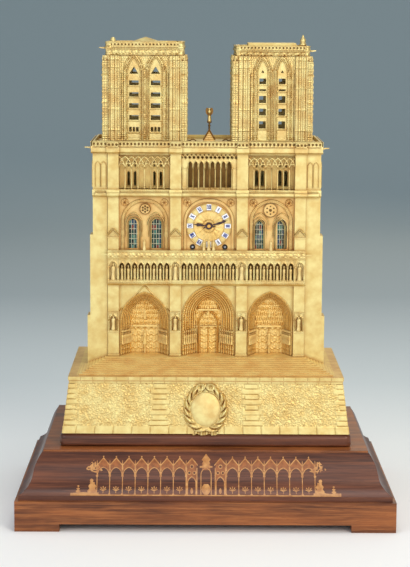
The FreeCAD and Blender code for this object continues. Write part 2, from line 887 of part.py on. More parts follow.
def portal_arches():
    """Each portal is one casting: a stepped splay, a tympanum with relief and a lintel over the doors."""
    castings = []
    for index, centre in enumerate(bay_centres):
        spring, rise_share = floor_top + portal_springs[index], portal_rise_shares[index]
        outer = portal_half(index) - seat_gap
        door_half = door_half_widths[index]
        y0 = -wall_face + seat_gap
        y_back = y0 + portal_ring_count * ring_depth
        body = pointed_arch(centre, outer, floor_top, spring, rise_share * outer, y0, y_back + tympanum_thick)
        inner = door_half + (outer - door_half) / (portal_ring_count + 1)
        for ring in range(portal_ring_count):
            half = outer - (outer - inner) * (ring + 1) / portal_ring_count
            start = y0 + ring * ring_depth
            body = body.cut(pointed_arch(centre, half, floor_top - overrun, spring, rise_share * half,
                                         start - overrun, start + ring_depth))
        door = box(centre - door_half, centre + door_half, y_back - overrun, y_back + tympanum_thick + overrun,
                   floor_top - overrun, floor_top + door_height)
        body = body.cut(door)
        pieces = [body, box(centre - inner, centre + inner, y_back - lintel_proud, y_back + seat_gap,
                            floor_top + door_height, floor_top + door_height + lintel_height)]
        row_gap = (spring - floor_top - door_height - lintel_height) / relief_row_count
        for row in range(relief_row_count):
            z = floor_top + door_height + lintel_height + (row + 0.5) * row_gap
            for place in range(relief_count):
                x = centre + ((place + 0.5) / relief_count - 0.5) * 2 * (inner - relief_radius)
                pieces.append(rod_y(x, z, relief_radius, y_back - relief_proud, y_back + seat_gap))
        castings.append(fused(pieces))
    return group(castings)


def portal_doors():
    leaves = []
    for index, centre in enumerate(bay_centres):
        half = door_half_widths[index]
        y0 = -wall_face + seat_gap + portal_ring_count * ring_depth + tympanum_thick
        low, high = floor_top, floor_top + door_height + lintel_height / 2
        for side in (-1, 1):
            edges = sorted((centre + side * seat_gap, centre + side * (half + hood_width)))
            leaves.append(box(edges[0], edges[1], y0, y0 + door_thick, low, high))
    return group(leaves)


def portal_statues():
    """Jamb figures on their plinths, and the figures in the pillar niches."""
    pieces = []
    for index, centre in enumerate(bay_centres):
        outer = portal_half(index) - seat_gap
        door_half = door_half_widths[index]
        inner = door_half + (outer - door_half) / (portal_ring_count + 1)
        for side in (-1, 1):
            for place in range(jamb_figure_count):
                half = outer - (outer - inner) * (place + 1) / portal_ring_count
                foot = figure_girth_share * jamb_figure / 2 + seat_gap
                x = centre + side * (half - foot)
                y = -wall_face + (place + 1) * ring_depth - foot + seat_gap
                pieces.append(fused([rod_z(x, y, foot - seat_gap, floor_top, floor_top + jamb_plinth),
                                     figure(x, y, floor_top + jamb_plinth, jamb_figure)]))
    for x in pillar_places:
        y = -pillar_face + niche_depth - figure_girth_share * niche_figure / 2 - seat_gap
        pieces.append(figure(x, y, floor_top + niche_height, niche_figure))
    return group(pieces)


def gallery_span():
    return pillar_places[0] - pillar_half_width, pillar_places[3] + pillar_half_width


def storey_mouldings():
    """Kings' ledge, the band above the gallery and the string course round the building."""
    left, right = gallery_span()
    front = -gallery_face
    ledge = prism_x([(-wall_face, ledge_foot), (front + course_bevel, ledge_foot), (front, ledge_foot + course_bevel),
                     (front, kings_foot), (-wall_face, kings_foot)], left, right)
    band = prism_x([(-wall_face, band_foot), (front, band_foot), (front - hood_proud, band_foot + course_bevel),
                    (front - hood_proud, window_foot - course_bevel), (front, window_foot),
                    (-wall_face, window_foot)], left, right)
    return group([ledge, band] + ring_course(string_foot, colonnade_foot, course_overhang, course_front_overhang))


def ring_course(low, high, side_proud, front_proud):
    """A course round the building: a deep front bar with caps over the pillars, and slimmer side and back bars."""
    side = side_half_width + side_proud
    face = -wall_face - front_proud
    bevel = course_bevel

    def section(outer, inner, sign):
        return [(inner, low), (outer - sign * bevel, low), (outer, low + bevel), (outer, high - bevel),
                (outer - sign * bevel, high), (inner, high)]

    bar = prism_x(section(face, wall_back, -1), -side, side)
    caps = []
    for x in pillar_places:
        half = pillar_half_width + pillar_cap_proud / 2
        caps.append(prism_x(section(face - pillar_cap_proud, -wall_face, -1), x - half, x + half))
    pieces = [fused([bar] + caps)]
    for sign in (-1, 1):
        outer, inner = sign * side, sign * side_half_width
        flank = prism_y(section(outer, inner, sign), wall_back, back_face + side_proud)
        pieces.append(flank)
    pieces.append(prism_x(section(back_face + side_proud, back_face, 1), -side_half_width, side_half_width))
    return pieces


def main_cornice():
    """Cornice with a parapet standing on its outer edge."""
    top = cornice_foot + (1 - parapet_share) * cornice_height
    pieces = ring_course(cornice_foot, top, cornice_overhang, cornice_front_overhang)
    side = side_half_width + cornice_overhang - course_bevel
    face = wall_face + cornice_front_overhang - course_bevel
    back = back_face + cornice_overhang - course_bevel
    inner = side - parapet_thick
    pieces += [box(-side, side, -face, -face + parapet_thick, top, tower_foot),
               box(-side, side, back - parapet_thick, back, top, tower_foot)]
    for x0, x1 in ((-side, -inner), (inner, side)):
        pieces.append(box(x0, x1, -face + parapet_thick, back - parapet_thick, top, tower_foot))
    return group(pieces)


def kings_gallery():
    """Pierced arcades between the pillars, and a niche in front of each pillar."""
    panels = []
    low, high = kings_foot, band_foot
    y0, y1 = -gallery_face, -gallery_face + arcade_thick
    for (left, right), count in zip(bay_edges, king_counts):
        panel = box(left, right, y0, y1, low, high)
        pitch = (right - left) / count
        half = pitch * (1 - king_pier_share) / 2
        rise = arcade_rise_share * half
        holes = [pointed_arch(left + (index + 0.5) * pitch, half, low + arcade_sill, high - arcade_head - rise, rise,
                              y0 - overrun, y1 + overrun) for index in range(count)]
        panels.append(panel.cut(group(holes)))
    for x in pillar_places:
        panel = box(x - pillar_half_width, x + pillar_half_width, y0, -wall_face, low, high)
        half = niche_width_share * pillar_half_width
        hole = pointed_arch(x, half, low + arcade_sill, high - arcade_head - half, half, y0 - overrun,
                            -wall_face - arcade_thick)
        panels.append(panel.cut(hole))
    return group(panels)


def gallery_statues():
    """The row of kings, and the small figures that stand on the band in front of dial and windows."""
    figures = []
    low = kings_foot
    for (left, right), count in zip(bay_edges, king_counts):
        pitch = (right - left) / count
        figures += [figure(left + (index + 0.5) * pitch, -wall_face - king_stand, low, king_figure)
                    for index in range(count)]
    figures += [figure(x, -wall_face - king_stand - arcade_thick, low + arcade_sill, king_figure)
                for x in pillar_places]
    y = -gallery_face + balcony_stand
    for index, place in enumerate(bay_centres):
        figures.append(figure(place, y, window_foot, balcony_figure))
        if index == 1:
            figures += [figure(place + side * balcony_spread, y, window_foot, balcony_side_figure)
                        for side in (-1, 1)]
    return group(figures)


def lancet_places(index):
    offset = lancet_place_share * bay_widths[index]
    return bay_centres[index] - offset, bay_centres[index] + offset


def window_wall():
    """Sheet with four lancets, two rosettes, pointed frames, and the holes for dial pipes and winding keys."""
    wall = box(-side_half_width, side_half_width, -wall_face, wall_back, window_foot, string_foot)
    rings = []
    holes = []
    y0, y1 = -wall_face - overrun, wall_back + overrun
    spring = window_foot + window_spring
    for index in (0, 1, 2):
        half = window_arch_width_share * bay_widths[index] / 2
        ring = pointed_arch(bay_centres[index], half, window_foot, spring, window_rise,
                            -wall_face - window_ring_proud, -wall_face)
        inner = pointed_arch(bay_centres[index], half - window_ring, window_foot - overrun, spring,
                             window_rise - window_ring, y0, y1)
        rings.append(ring.cut(inner))
    for index, radius in zip((0, 2), rosette_radii):
        for x in lancet_places(index):
            holes.append(pointed_arch(x, lancet_half_width, window_foot + lancet_sill, window_foot + lancet_spring,
                                      lancet_rise, y0, y1))
            rim = pointed_arch(x, lancet_half_width + window_ring / 2, window_foot,
                               window_foot + lancet_spring, lancet_rise + window_ring / 2,
                               -wall_face - window_ring_proud / 2, -wall_face)
            rings.append(rim)
        z = window_foot + rosette_rise
        rings.append(rod_y(bay_centres[index], z, radius + window_ring / 2, -wall_face - window_ring_proud / 2,
                           -wall_face))
        holes.append(rod_y(bay_centres[index], z, radius - window_ring, y0, y1))
    for side in (-1, 1):
        holes.append(rod_y(dial_x + side * winding_spread, dial_z - winding_drop, collet_radius - seat_gap, y0, y1))
    holes.append(rod_y(dial_x, dial_z, pipe_hole, y0, y1))
    return fused([wall] + rings).cut(group(holes))


def window_glass():
    panes = []
    for index, radius in zip((0, 2), rosette_radii):
        for x in lancet_places(index):
            panes.append(box(x - lancet_half_width - glass_lap, x + lancet_half_width + glass_lap, wall_back,
                             wall_back + glass_thick, window_foot,
                             window_foot + lancet_spring + lancet_rise + glass_lap))
        panes.append(rod_y(bay_centres[index], window_foot + rosette_rise, radius, wall_back,
                           wall_back + glass_thick))
    return group(panes)


def colonnade():
    """Slender arcades standing on the string course, one per bay."""
    panels = []
    low, high = colonnade_foot, cornice_foot
    y0, y1 = -colonnade_face, -colonnade_face + colonnade_plate
    for (left, right), count in zip(bay_edges, colonnade_counts):
        panel = box(left, right, y0, y1, low, high)
        pitch = (right - left) / count
        half = pitch * (1 - colonnade_column_share) / 2
        rise = colonnade_rise_share * half
        holes = [pointed_arch(left + (index + 0.5) * pitch, half, low + colonnade_sill, high - colonnade_head - rise,
                              rise, y0 - overrun, y1 + overrun) for index in range(count)]
        panels.append(panel.cut(group(holes)))
    return group(panels)


def colonnade_wall():
    """Sheet behind the columns and the blocks between it and the pillars. The side bays have slots, and every
    arch is open in the middle bay."""
    y0 = -wall_face + colonnade_wall_back
    y1 = y0 + wall_thick
    wall = box(-side_half_width + wall_thick, side_half_width - wall_thick, y0, y1, colonnade_foot, cornice_foot)
    holes = []
    for index, ((left, right), count) in enumerate(zip(bay_edges, colonnade_counts)):
        pitch = (right - left) / count
        places = range(1, count + 1) if index == 1 else slot_numbers
        for place in places:
            x = left + (place - 0.5) * pitch
            holes.append(box(x - slot_half_width, x + slot_half_width, y0 - overrun, y1 + overrun,
                             colonnade_foot + slot_low, colonnade_foot + slot_low + slot_height))
    front = [box(left, right, -wall_face, y0, colonnade_foot, cornice_foot)
             for left, right in ((x - pillar_half_width, x + pillar_half_width) for x in pillar_places)]
    inner = wing_inner
    ends = [box(min(side * inner, side * (side_half_width - wall_thick)),
                max(side * inner, side * (side_half_width - wall_thick)), -wall_face, y0, colonnade_foot,
                cornice_foot) for side in (-1, 1)]
    return group([wall.cut(group(holes))] + front + ends)


def tower_half_width(index):
    return bay_widths[index] / 2 + 2 * pillar_half_width + tower_overhang


def tower_box(index):
    half = tower_half_width(index)
    centre = bay_centres[index]
    return centre - half, centre + half, -tower_front, -tower_front + tower_depth


def roof_plates():
    """Roof deck of the building and the low roofs of the towers."""
    inner = side_half_width + cornice_overhang - course_bevel - parapet_thick
    top = cornice_foot + (1 - parapet_share) * cornice_height
    deck = box(-inner, inner, -wall_face - cornice_front_overhang + course_bevel + parapet_thick,
               back_face + cornice_overhang - course_bevel - parapet_thick, top, top + roof_thick)
    pieces = [deck]
    for index, drop in zip((0, 2), tower_cornice_drops):
        left, right, front, back = tower_box(index)
        inset = tower_cornice_set + tower_rail_set + parapet_thick + roof_play
        base = tower_roof(drop)
        slab = box(left + inset, right - inset, front + inset, back - inset, base - roof_thick, base)
        inset += roof_inset
        if drop == 0:
            slab = fused([slab, pyramid(left + inset, right - inset, front + inset, back - inset, base, roof_rise)])
        else:
            slab = fused([slab, box(left + inset, right - inset, front + inset, back - inset, base,
                                    base + low_roof_rise)])
        pieces.append(slab)
    return group(pieces)


def tower_roof(drop):
    """Height of the top of a tower's roof slab."""
    return cornice_line + (tower_cornice - drop) * (1 - parapet_share) + roof_thick


def pyramid(x0, x1, y0, y1, base, rise):
    corners = [vec(x0, y0, base), vec(x1, y0, base), vec(x1, y1, base), vec(x0, y1, base)]
    apex = vec((x0 + x1) / 2, (y0 + y1) / 2, base + rise)
    faces = [Part.Face(Part.makePolygon([a, b, apex, a])) for a, b in zip(corners, corners[1:] + corners[:1])]
    faces.append(Part.Face(Part.makePolygon(corners + [corners[0]])))
    return Part.makeSolid(Part.makeShell(faces))


def tower_walls():
    """Four pierced sheets per tower, with a pair of pointed frames on the front ones."""
    pieces = []
    floor = cornice_foot + (1 - parapet_share) * cornice_height + roof_thick
    for index in (0, 2):
        left, right, front, back = tower_box(index)
        left, right = left + tower_wall_inset, right - tower_wall_inset
        front, back = front + tower_wall_inset, back - tower_wall_inset
        for face in (front, back - tower_wall):
            sheet = box(left, right, face, face + tower_wall, floor, cornice_line)
            if face == front:
                sheet = fused([sheet] + tower_frames(index, front))
            pieces.append(sheet.cut(openings(index, face - overrun, face + tower_wall + overrun)))
        for face in (left, right - tower_wall):
            y0, y1 = front + tower_wall, back - tower_wall
            sheet = box(face, face + tower_wall, y0, y1, floor, cornice_line)
            tools = openings(index, face - overrun, face + tower_wall + overrun)
            tools.translate(vec(-(left + right) / 2, 0, 0))
            tools.rotate(vec(0, 0, 0), vec(0, 0, 1), -90)
            tools.translate(vec(0, (front + back) / 2, 0))
            pieces.append(sheet.cut(tools))
    return group(pieces)


def tower_frames(index, face):
    left, right, front, back = tower_box(index)
    half = tower_panel_half_share * (right - left) / 2
    spring = tower_foot + tower_panel_spring_share * tower_height
    frames = []
    for side in (-1, 1):
        x = (left + right) / 2 + side * opening_pitch_shares[index // 2] * (right - left) / 2
        frame = pointed_arch(x, half, tower_foot, spring, tower_panel_rise, face - tower_panel_proud, face)
        frames.append(frame.cut(pointed_arch(x, half - tower_panel_ring, tower_foot - overrun, spring,
                                             tower_panel_rise - tower_panel_ring,
                                             face - tower_panel_proud - overrun, face + overrun)))
    return frames


def openings(index, y0, y1):
    """Two columns of openings, each with a pointed one on top."""
    left, right, front, back = tower_box(index)
    rows = left_row_shares if index == 0 else right_row_shares
    half = left_half_width if index == 0 else right_half_width
    top = left_top_shares if index == 0 else right_top_shares
    tools = []
    for side in (-1, 1):
        x = (left + right) / 2 + side * opening_pitch_shares[index // 2] * (right - left) / 2
        for low_share, height_share in rows:
            z = tower_foot + low_share * tower_height
            tools.append(box(x - half, x + half, y0, y1, z, z + height_share * tower_height))
        z = tower_foot + top[0] * tower_height
        reach = top_width_shares[index // 2] * half
        tools.append(prism_y([(x - reach, z), (x + reach, z), (x, z + top[1] * tower_height)], y0, y1))
    return group(tools)


def tower_piers():
    """Corner piers, L-shaped in plan, with a rib on each outer face and a lower pier hugging the corner."""
    pieces = []
    floor = cornice_foot + (1 - parapet_share) * cornice_height + roof_thick
    low_top = tower_foot + outer_pier_share * tower_height
    for index in (0, 2):
        left, right, front, back = tower_box(index)
        for x, side_x in ((left, 1), (right, -1)):
            for y, side_y in ((front, 1), (back, -1)):
                def at(out_x, out_y):
                    return x + side_x * out_x, y + side_y * out_y

                inner = pier_width
                outline = [at(pier_inset, pier_inset), at(inner, pier_inset), at(inner, tower_wall_inset),
                           at(tower_wall_inset, tower_wall_inset), at(tower_wall_inset, inner),
                           at(pier_inset, inner)]
                lower = [at(0, 0), at(outer_pier_width, 0), at(outer_pier_width, pier_inset),
                         at(pier_inset, pier_inset), at(pier_inset, outer_pier_width), at(0, outer_pier_width)]
                middle = pier_rib_share * pier_width
                near, far = middle - pier_rib / 2, middle + pier_rib / 2
                proud = pier_inset - pier_rib_proud
                ribs = [[at(near, proud), at(far, proud), at(far, pier_inset), at(near, pier_inset)],
                        [at(proud, near), at(proud, far), at(pier_inset, far), at(pier_inset, near)]]
                pieces.append(fused([prism_z(outline, floor, cornice_line), prism_z(lower, floor, low_top)]
                                    + [prism_z(rib, floor, cornice_line - pier_rib) for rib in ribs]))
    return group(pieces)


def tower_cornices():
    """Cornice bars and a parapet above them, round each tower."""
    pieces = []
    for index, drop in zip((0, 2), tower_cornice_drops):
        left, right, front, back = tower_box(index)
        height = tower_cornice - drop
        low, mid, high = cornice_line, tower_roof(drop) - roof_thick, cornice_line + height
        face, inside = tower_cornice_set, tower_wall_inset + tower_wall
        bar = [(face + tower_cornice_flare, low), (inside, low), (inside, mid), (face, mid), (face, mid - course_bevel)]
        outer = face + tower_rail_set
        rail = [(outer, mid), (outer + parapet_thick, mid), (outer + parapet_thick, high), (outer, high)]
        for points in (bar, rail):
            for strip in mitred_frame(profile_face(points), (right - left) / 2, (back - front) / 2):
                strip.translate(vec((left + right) / 2, (front + back) / 2, 0))
                pieces.append(strip)
    return group(pieces)


def tower_pinnacles():
    """A small knobbed pinnacle on the outer front corner of each tower's roof."""
    pieces = []
    for index, drop, side in ((0, tower_cornice_drops[0], -1), (2, tower_cornice_drops[1], 1)):
        left, right, front, back = tower_box(index)
        x = (left if side < 0 else right) - side * roof_inset
        y = front + roof_inset - pinnacle_radius
        low = tower_roof(drop)
        middle = low + pinnacle_height / 2
        pieces.append(fused([rod_z(x, y, pinnacle_radius / 2, low, middle),
                             Part.makeCone(pinnacle_radius, 0, pinnacle_height / 2, vec(x, y, middle))]))
    return group(pieces)


def gargoyles():
    """Water spouts at the corners of the towers, the main cornice and the gallery."""
    pieces = []
    half = gargoyle_thick / 2
    for index, drop, side in ((0, tower_cornice_drops[0], -1), (2, tower_cornice_drops[1], 1)):
        left, right, front, back = tower_box(index)
        x = (left if side < 0 else right) - side * tower_cornice_set
        z = tower_roof(drop) - roof_thick - half
        pieces.append(spout(x, front + pier_width / 2, z, side, half))
    for side in (-1, 1):
        x = side * (side_half_width + cornice_overhang)
        pieces.append(spout(x, -wall_face, cornice_foot + cornice_height * parapet_share, side, half))
        left, right = gallery_span()
        x = left if side < 0 else right
        pieces.append(spout(x, -gallery_face + half, band_foot + band_height / 2, side, half))
    return group(pieces)


def spout(x, y, z, side, half):
    """A tapering square spout that points sideways from x."""
    length = side * gargoyle_length
    near = [vec(x, y - half, z - half), vec(x, y + half, z - half), vec(x, y + half, z + half),
            vec(x, y - half, z + half)]
    tip = half / 2
    far = [vec(x + length, y - tip, z), vec(x + length, y + tip, z), vec(x + length, y + tip, z + half),
           vec(x + length, y - tip, z + half)]
    return Part.makeLoft([Part.makePolygon(near + [near[0]]), Part.makePolygon(far + [far[0]])], True, True)


def nave_gable():
    """Gable of the nave roof between the towers, with a finial figure on its tip."""
    floor = cornice_foot + (1 - parapet_share) * cornice_height + roof_thick
    y0 = -wall_face + gable_setback
    gable = prism_y([(dial_x - gable_half_width, floor), (dial_x + gable_half_width, floor),
                     (dial_x + gable_half_width, tower_foot), (dial_x, tower_foot + gable_height),
                     (dial_x - gable_half_width, tower_foot)], y0, y0 + gable_thick)
    y = y0 + gable_thick / 2
    top = tower_foot + gable_height
    stem = rod_z(dial_x, y, finial_radius / 3, top - finial_radius, top + finial_height / 2)
    body = figure(dial_x, y, top + finial_height * finial_stem_share, finial_height * (1 - finial_stem_share))
    return fused([gable, stem, body])


def dial_plate():
    plate = rod_y(dial_x, dial_z, dial_radius, dial_face, -wall_face)
    low = dial_z - winding_drop
    for side in (-1, 1):
        plate = plate.cut(rod_y(dial_x + side * winding_spread, low, collet_flange + air,
                                dial_face - overrun, -wall_face + overrun))
    return plate.cut(rod_y(dial_x, dial_z, pipe_hole, dial_face - overrun, -wall_face + overrun))


def hour_plaques():
    """Twelve enamel plaques on the dial, each turned to its hour."""
    plaques = []
    for hour in range(plaque_count):
        half_w, half_h = plaque_width / 2, plaque_height / 2
        plaque = box(-half_w, half_w, dial_face - plaque_thick, dial_face, plaque_ring - half_h, plaque_ring + half_h)
        plaque.rotate(vec(0, 0, 0), vec(0, 1, 0), 360 * hour / plaque_count)
        plaque.translate(vec(dial_x, 0, dial_z))
        plaques.append(plaque)
    return group(plaques)


def winding_collets():
    rings = []
    for side in (-1, 1):
        x, z = dial_x + side * winding_spread, dial_z - winding_drop
        ring = fused([rod_y(x, z, collet_radius - 2 * seat_gap, -wall_face, wall_back),
                      rod_y(x, z, collet_flange, -wall_face - collet_proud, -wall_face)])
        rings.append(ring.cut(rod_y(x, z, collet_bore, -wall_face - overrun, wall_back + overrun)))
    return group(rings)


def hand(length, spade_at, y0, angle, bore):
    """A blued hand that points at an angle, clockwise from twelve."""
    w = hand_width / 2
    spade = spade_at * length
    waist, neck, neck_height = w * hand_waist_share, w * hand_neck_share, spade + hand_spade * hand_neck_rise_share
    outline = [(-w, -hand_tail), (w, -hand_tail), (waist, spade - hand_spade), (hand_spade, spade),
               (neck, neck_height), (0, length), (-neck, neck_height), (-hand_spade, spade),
               (-waist, spade - hand_spade)]
    blade = prism_y(outline, y0, y0 + hand_thick)
    shape = fused([blade, rod_y(0, 0, bore + hand_boss_wall, y0, y0 + hand_thick)])
    shape = shape.cut(rod_y(0, 0, bore, y0 - overrun, y0 + overrun))
    shape.rotate(vec(0, 0, 0), vec(0, 1, 0), angle)
    shape.translate(vec(dial_x, 0, dial_z))
    return shape


def hour_hand_plane():
    return dial_face - plaque_thick - hand_space - hand_thick


def minute_hand_plane():
    return hour_hand_plane() - hand_space - hand_thick


def cannon_bore():
    return centre_radius + cannon_bore_play


def cannon_outer():
    return cannon_bore() + cannon_wall


def hour_pipe_bore():
    return cannon_outer() + pivot_play


def hour_pipe_outer():
    return hour_pipe_bore() + hour_pipe_wall


def hour_hand():
    return hand(hour_hand_share * dial_radius, hour_spade_share, hour_hand_plane(), hour_hand_angle,
                hour_pipe_outer())


def minute_hand():
    return hand(minute_hand_share * dial_radius, minute_spade_share, minute_hand_plane(), minute_hand_angle,
                cannon_outer())


def toothed_disc(teeth, module, phase, y0, y1):
    """Toothed disc about the origin, its teeth standing out in the XZ plane."""
    pitch_radius = teeth * module / 2
    root = pitch_radius - dedendum_share * module
    tip = pitch_radius + addendum_share * module
    step = 2 * math.pi / teeth
    points = []
    for index in range(teeth):
        middle = phase + index * step
        for radius, turn in ((root, -root_share), (tip, -tip_share), (tip, tip_share), (root, root_share)):
            angle = middle + turn * step
            points.append((radius * math.cos(angle), radius * math.sin(angle)))
    return prism_y(points, y0, y1)


def crossings(root, y0, y1):
    """The windows between a wheel's spokes, as solids."""
    outer, inner = root * rim_share, max(root * hub_share, centre_radius + hand_boss_wall)
    ring = rod_y(0, 0, outer, y0 - overrun, y1 + overrun).cut(rod_y(0, 0, inner, y0 - overrun * 2, y1 + overrun * 2))
    half = root * spoke_width_share
    arms = []
    for index in range(spoke_count):
        arm = box(0, root, y0 - overrun * 2, y1 + overrun * 2, -half, half)
        arm.rotate(vec(0, 0, 0), vec(0, 1, 0), 360 * index / spoke_count)
        arms.append(arm)
    return ring.cut(group(arms))


def gear(place, teeth, module, phase, y0, y1, spokes=False):
    solid = toothed_disc(teeth, module, phase, y0, y1)
    if spokes:
        solid = solid.cut(crossings(teeth * module / 2 - dedendum_share * module, y0, y1))
    solid.translate(vec(place[0], 0, place[1]))
    return solid


def meshed_phase(driver, driver_teeth, driver_phase, driven, driven_teeth):
    """The phase at which the driven wheel's gap faces the driver's tooth."""
    bearing = math.atan2(driven[1] - driver[1], driven[0] - driver[0])
    ahead = (bearing - driver_phase) * driver_teeth / (2 * math.pi)
    return bearing + math.pi - (0.5 - ahead) * 2 * math.pi / driven_teeth


def polar(place, distance, bearing):
    angle = math.radians(bearing)
    return place[0] + distance * math.cos(angle), place[1] + distance * math.sin(angle)


def meeting(first, first_distance, second, second_distance, side):
    """The point at given distances from two points, on the chosen side of the line between them."""
    dx, dz = second[0] - first[0], second[1] - first[1]
    span = math.hypot(dx, dz)
    along = (first_distance ** 2 - second_distance ** 2 + span ** 2) / (2 * span)
    off = math.sqrt(first_distance ** 2 - along ** 2) * side
    return first[0] + (along * dx - off * dz) / span, first[1] + (along * dz + off * dx) / span


def centre_distance(wheel_teeth, pinion, module):
    return (wheel_teeth + pinion) * module / 2


# Arbor places in the XZ plane
centre = (dial_x, dial_z)
going = (dial_x + winding_spread, dial_z - winding_drop)
strike = (dial_x - winding_spread, dial_z - winding_drop)
intermediate = meeting(going, centre_distance(barrel_teeth, large_pinion_teeth, barrel_module), centre,
                       centre_distance(intermediate_teeth, large_pinion_teeth, intermediate_module), 1)
escape = (dial_x, dial_z + escape_rise)
third = meeting(centre, centre_distance(centre_teeth, small_pinion_teeth, centre_module), escape,
                centre_distance(third_teeth, small_pinion_teeth, third_module), -1)
pivot = (dial_x, dial_z + pivot_rise)
pin_place = polar(strike, centre_distance(barrel_teeth, large_pinion_teeth, barrel_module), pin_bearing)
warning = polar(pin_place, centre_distance(pin_teeth, small_pinion_teeth, pin_module), warning_bearing)
fly_place = polar(warning, centre_distance(warning_teeth, small_pinion_teeth, warning_module), fly_bearing)
motion = polar(centre, centre_distance(minute_teeth, cannon_teeth, cannon_module), motion_bearing)
hour_module = 2 * math.hypot(motion[0] - centre[0], motion[1] - centre[1]) / (hour_teeth + minute_pinion_teeth)
hammer_pivot = (dial_x + hammer_place[0], dial_z + hammer_place[1])


def arbor(place, y0=None, y1=None, radius=arbor_radius):
    start = front_plate if y0 is None else y0
    end = movement_back if y1 is None else y1
    return rod_y(place[0], place[1], radius, start, end)


def barrel(place):
    """Drum with its great wheel, running on the winding arbor."""
    wheel_front = barrel_front + barrel_length
    drum = rod_y(place[0], place[1], barrel_drum, barrel_front, wheel_front)
    wheel = gear(place, barrel_teeth, barrel_module, 0, wheel_front, wheel_front + wheel_thick)
    shape = fused([drum, wheel])
    return shape.cut(rod_y(place[0], place[1], barrel_arbor + pivot_play, barrel_front - overrun,
                           wheel_front + wheel_thick + overrun))


def winding_arbor(place):
    """Round between the plates, square in front for the key, with a collar before and behind the barrel."""
    x, z = place
    wheel_back = barrel_front + barrel_length + wheel_thick
    body = rod_y(x, z, barrel_arbor, front_plate, movement_back)
    key_square = box(x - square_half, x + square_half, -wall_face - collet_proud, front_plate, z - square_half,
                     z + square_half)
    collars = [rod_y(x, z, barrel_arbor + cannon_wall, front_plate + plate_thick + air, barrel_front - air),
               rod_y(x, z, barrel_arbor + cannon_wall, wheel_back + air, back_plate - air)]
    return fused([body, key_square] + collars)


def going_barrel():
    return barrel(going)


def strike_barrel():
    return barrel(strike)


def intermediate_wheel():
    y0 = intermediate_plane
    great = barrel_front + barrel_length + wheel_thick / 2
    phase = meshed_phase(going, barrel_teeth, 0, intermediate, large_pinion_teeth)
    pinion = gear(intermediate, large_pinion_teeth, barrel_module, phase, great - pinion_reach / 2,
                  great + pinion_reach / 2)
    wheel = gear(intermediate, intermediate_teeth, intermediate_module, 0, y0, y0 + wheel_thick, True)
    return fused([arbor(intermediate), pinion, wheel])


def centre_wheel():
    """Centre arbor with its pinion in front and its wheel behind; it carries the cannon pinion by friction."""
    y0 = intermediate_plane + wheel_thick / 2
    phase = meshed_phase(intermediate, intermediate_teeth, 0, centre, large_pinion_teeth)
    pinion = gear(centre, large_pinion_teeth, intermediate_module, phase, y0 - pinion_reach / 3, y0 + pinion_reach / 2)
    wheel = gear(centre, centre_teeth, centre_module, 0, centre_plane, centre_plane + wheel_thick, True)
    front = minute_hand_plane() - hand_thick / 2
    return fused([arbor(centre, front, movement_back, centre_radius), pinion, wheel])


def third_wheel():
    y0 = centre_plane + wheel_thick / 2
    phase = meshed_phase(centre, centre_teeth, 0, third, small_pinion_teeth)
    pinion = gear(third, small_pinion_teeth, centre_module, phase, y0 - pinion_reach / 2, y0 + pinion_reach / 2)
    wheel = gear(third, third_teeth, third_module, 0, third_plane, third_plane + wheel_thick, True)
    return fused([arbor(third), pinion, wheel])


def escape_wheel():
    """Thin wheel with thirty raked teeth."""
    y0 = third_plane + wheel_thick / 2
    phase = meshed_phase(third, third_teeth, 0, escape, small_pinion_teeth)
    pinion = gear(escape, small_pinion_teeth, third_module, phase, y0 - pinion_reach / 2, y0 + pinion_reach / 2)
    step = 2 * math.pi / escape_teeth
    root = escape_radius - escape_tooth_height
    points = []
    for index in range(escape_teeth):
        for radius, turn in escape_tooth_shares:
            angle = (index + turn) * step
            points.append(((root + radius * escape_tooth_height) * math.cos(angle),
                           (root + radius * escape_tooth_height) * math.sin(angle)))
    back = escape_plane + wheel_thick
    wheel = prism_y(points, escape_plane, back).cut(crossings(root, escape_plane, back))
    wheel.translate(vec(escape[0], 0, escape[1]))
    return fused([arbor(escape), pinion, wheel])


def anchor():
    """Two pallet arms astride the escape wheel, on an arbor whose crutch hangs behind the back plate."""
    x, z = pivot
    y0, y1 = escape_plane, escape_plane + wheel_thick
    bar = anchor_bar / 2
    arms = []
    length = math.hypot(pallet_reach, pallet_drop)
    for side in (-1, 1):
        arm = prism_y([(-bar, 0), (bar, 0), (bar, -length), (-bar, -length)], y0, y1)
        arm.rotate(vec(0, 0, 0), vec(0, 1, 0), -side * math.degrees(math.atan2(pallet_reach, pallet_drop)))
        arm.translate(vec(x, 0, z))
        arms.append(arm)
    hub = rod_y(x, z, anchor_hub, y0, y1)
    crutch_y = movement_back + air
    stem = rod_y(x, z, arbor_radius, front_plate, crutch_y + crutch_thick)
    half = crutch_width / 2
    crutch = box(x - half, x + half, crutch_y, crutch_y + crutch_thick, z - crutch_length, z)
    inside = rod_radius + fork_gap
    fork = [box(x - inside - fork_arm, x + inside + fork_arm, crutch_y, crutch_y + crutch_thick,
                z - crutch_length - fork_arm, z - crutch_length)]
    for side in (-1, 1):
        edges = sorted((x + side * inside, x + side * (inside + fork_arm)))
        fork.append(box(edges[0], edges[1], crutch_y, rod_plane + rod_radius + fork_arm,
                        z - crutch_length - fork_arm, z - crutch_length))
    return fused(arms + [hub, stem, crutch] + fork)


def suspension_cock():
    """Bracket on the back plate with the suspension spring hanging from it in line with the anchor's arbor."""
    x, z = pivot
    low = z + cock_low
    arm = box(x - cock_width / 2, x + cock_width / 2, movement_back, rod_plane + cock_height / 2, low,
              low + cock_height)
    spring = box(x - spring_width / 2, x + spring_width / 2, rod_plane - spring_thick / 2,
                 rod_plane + spring_thick / 2, z - spring_length + cock_low, low + overrun)
    return fused([arm, spring])


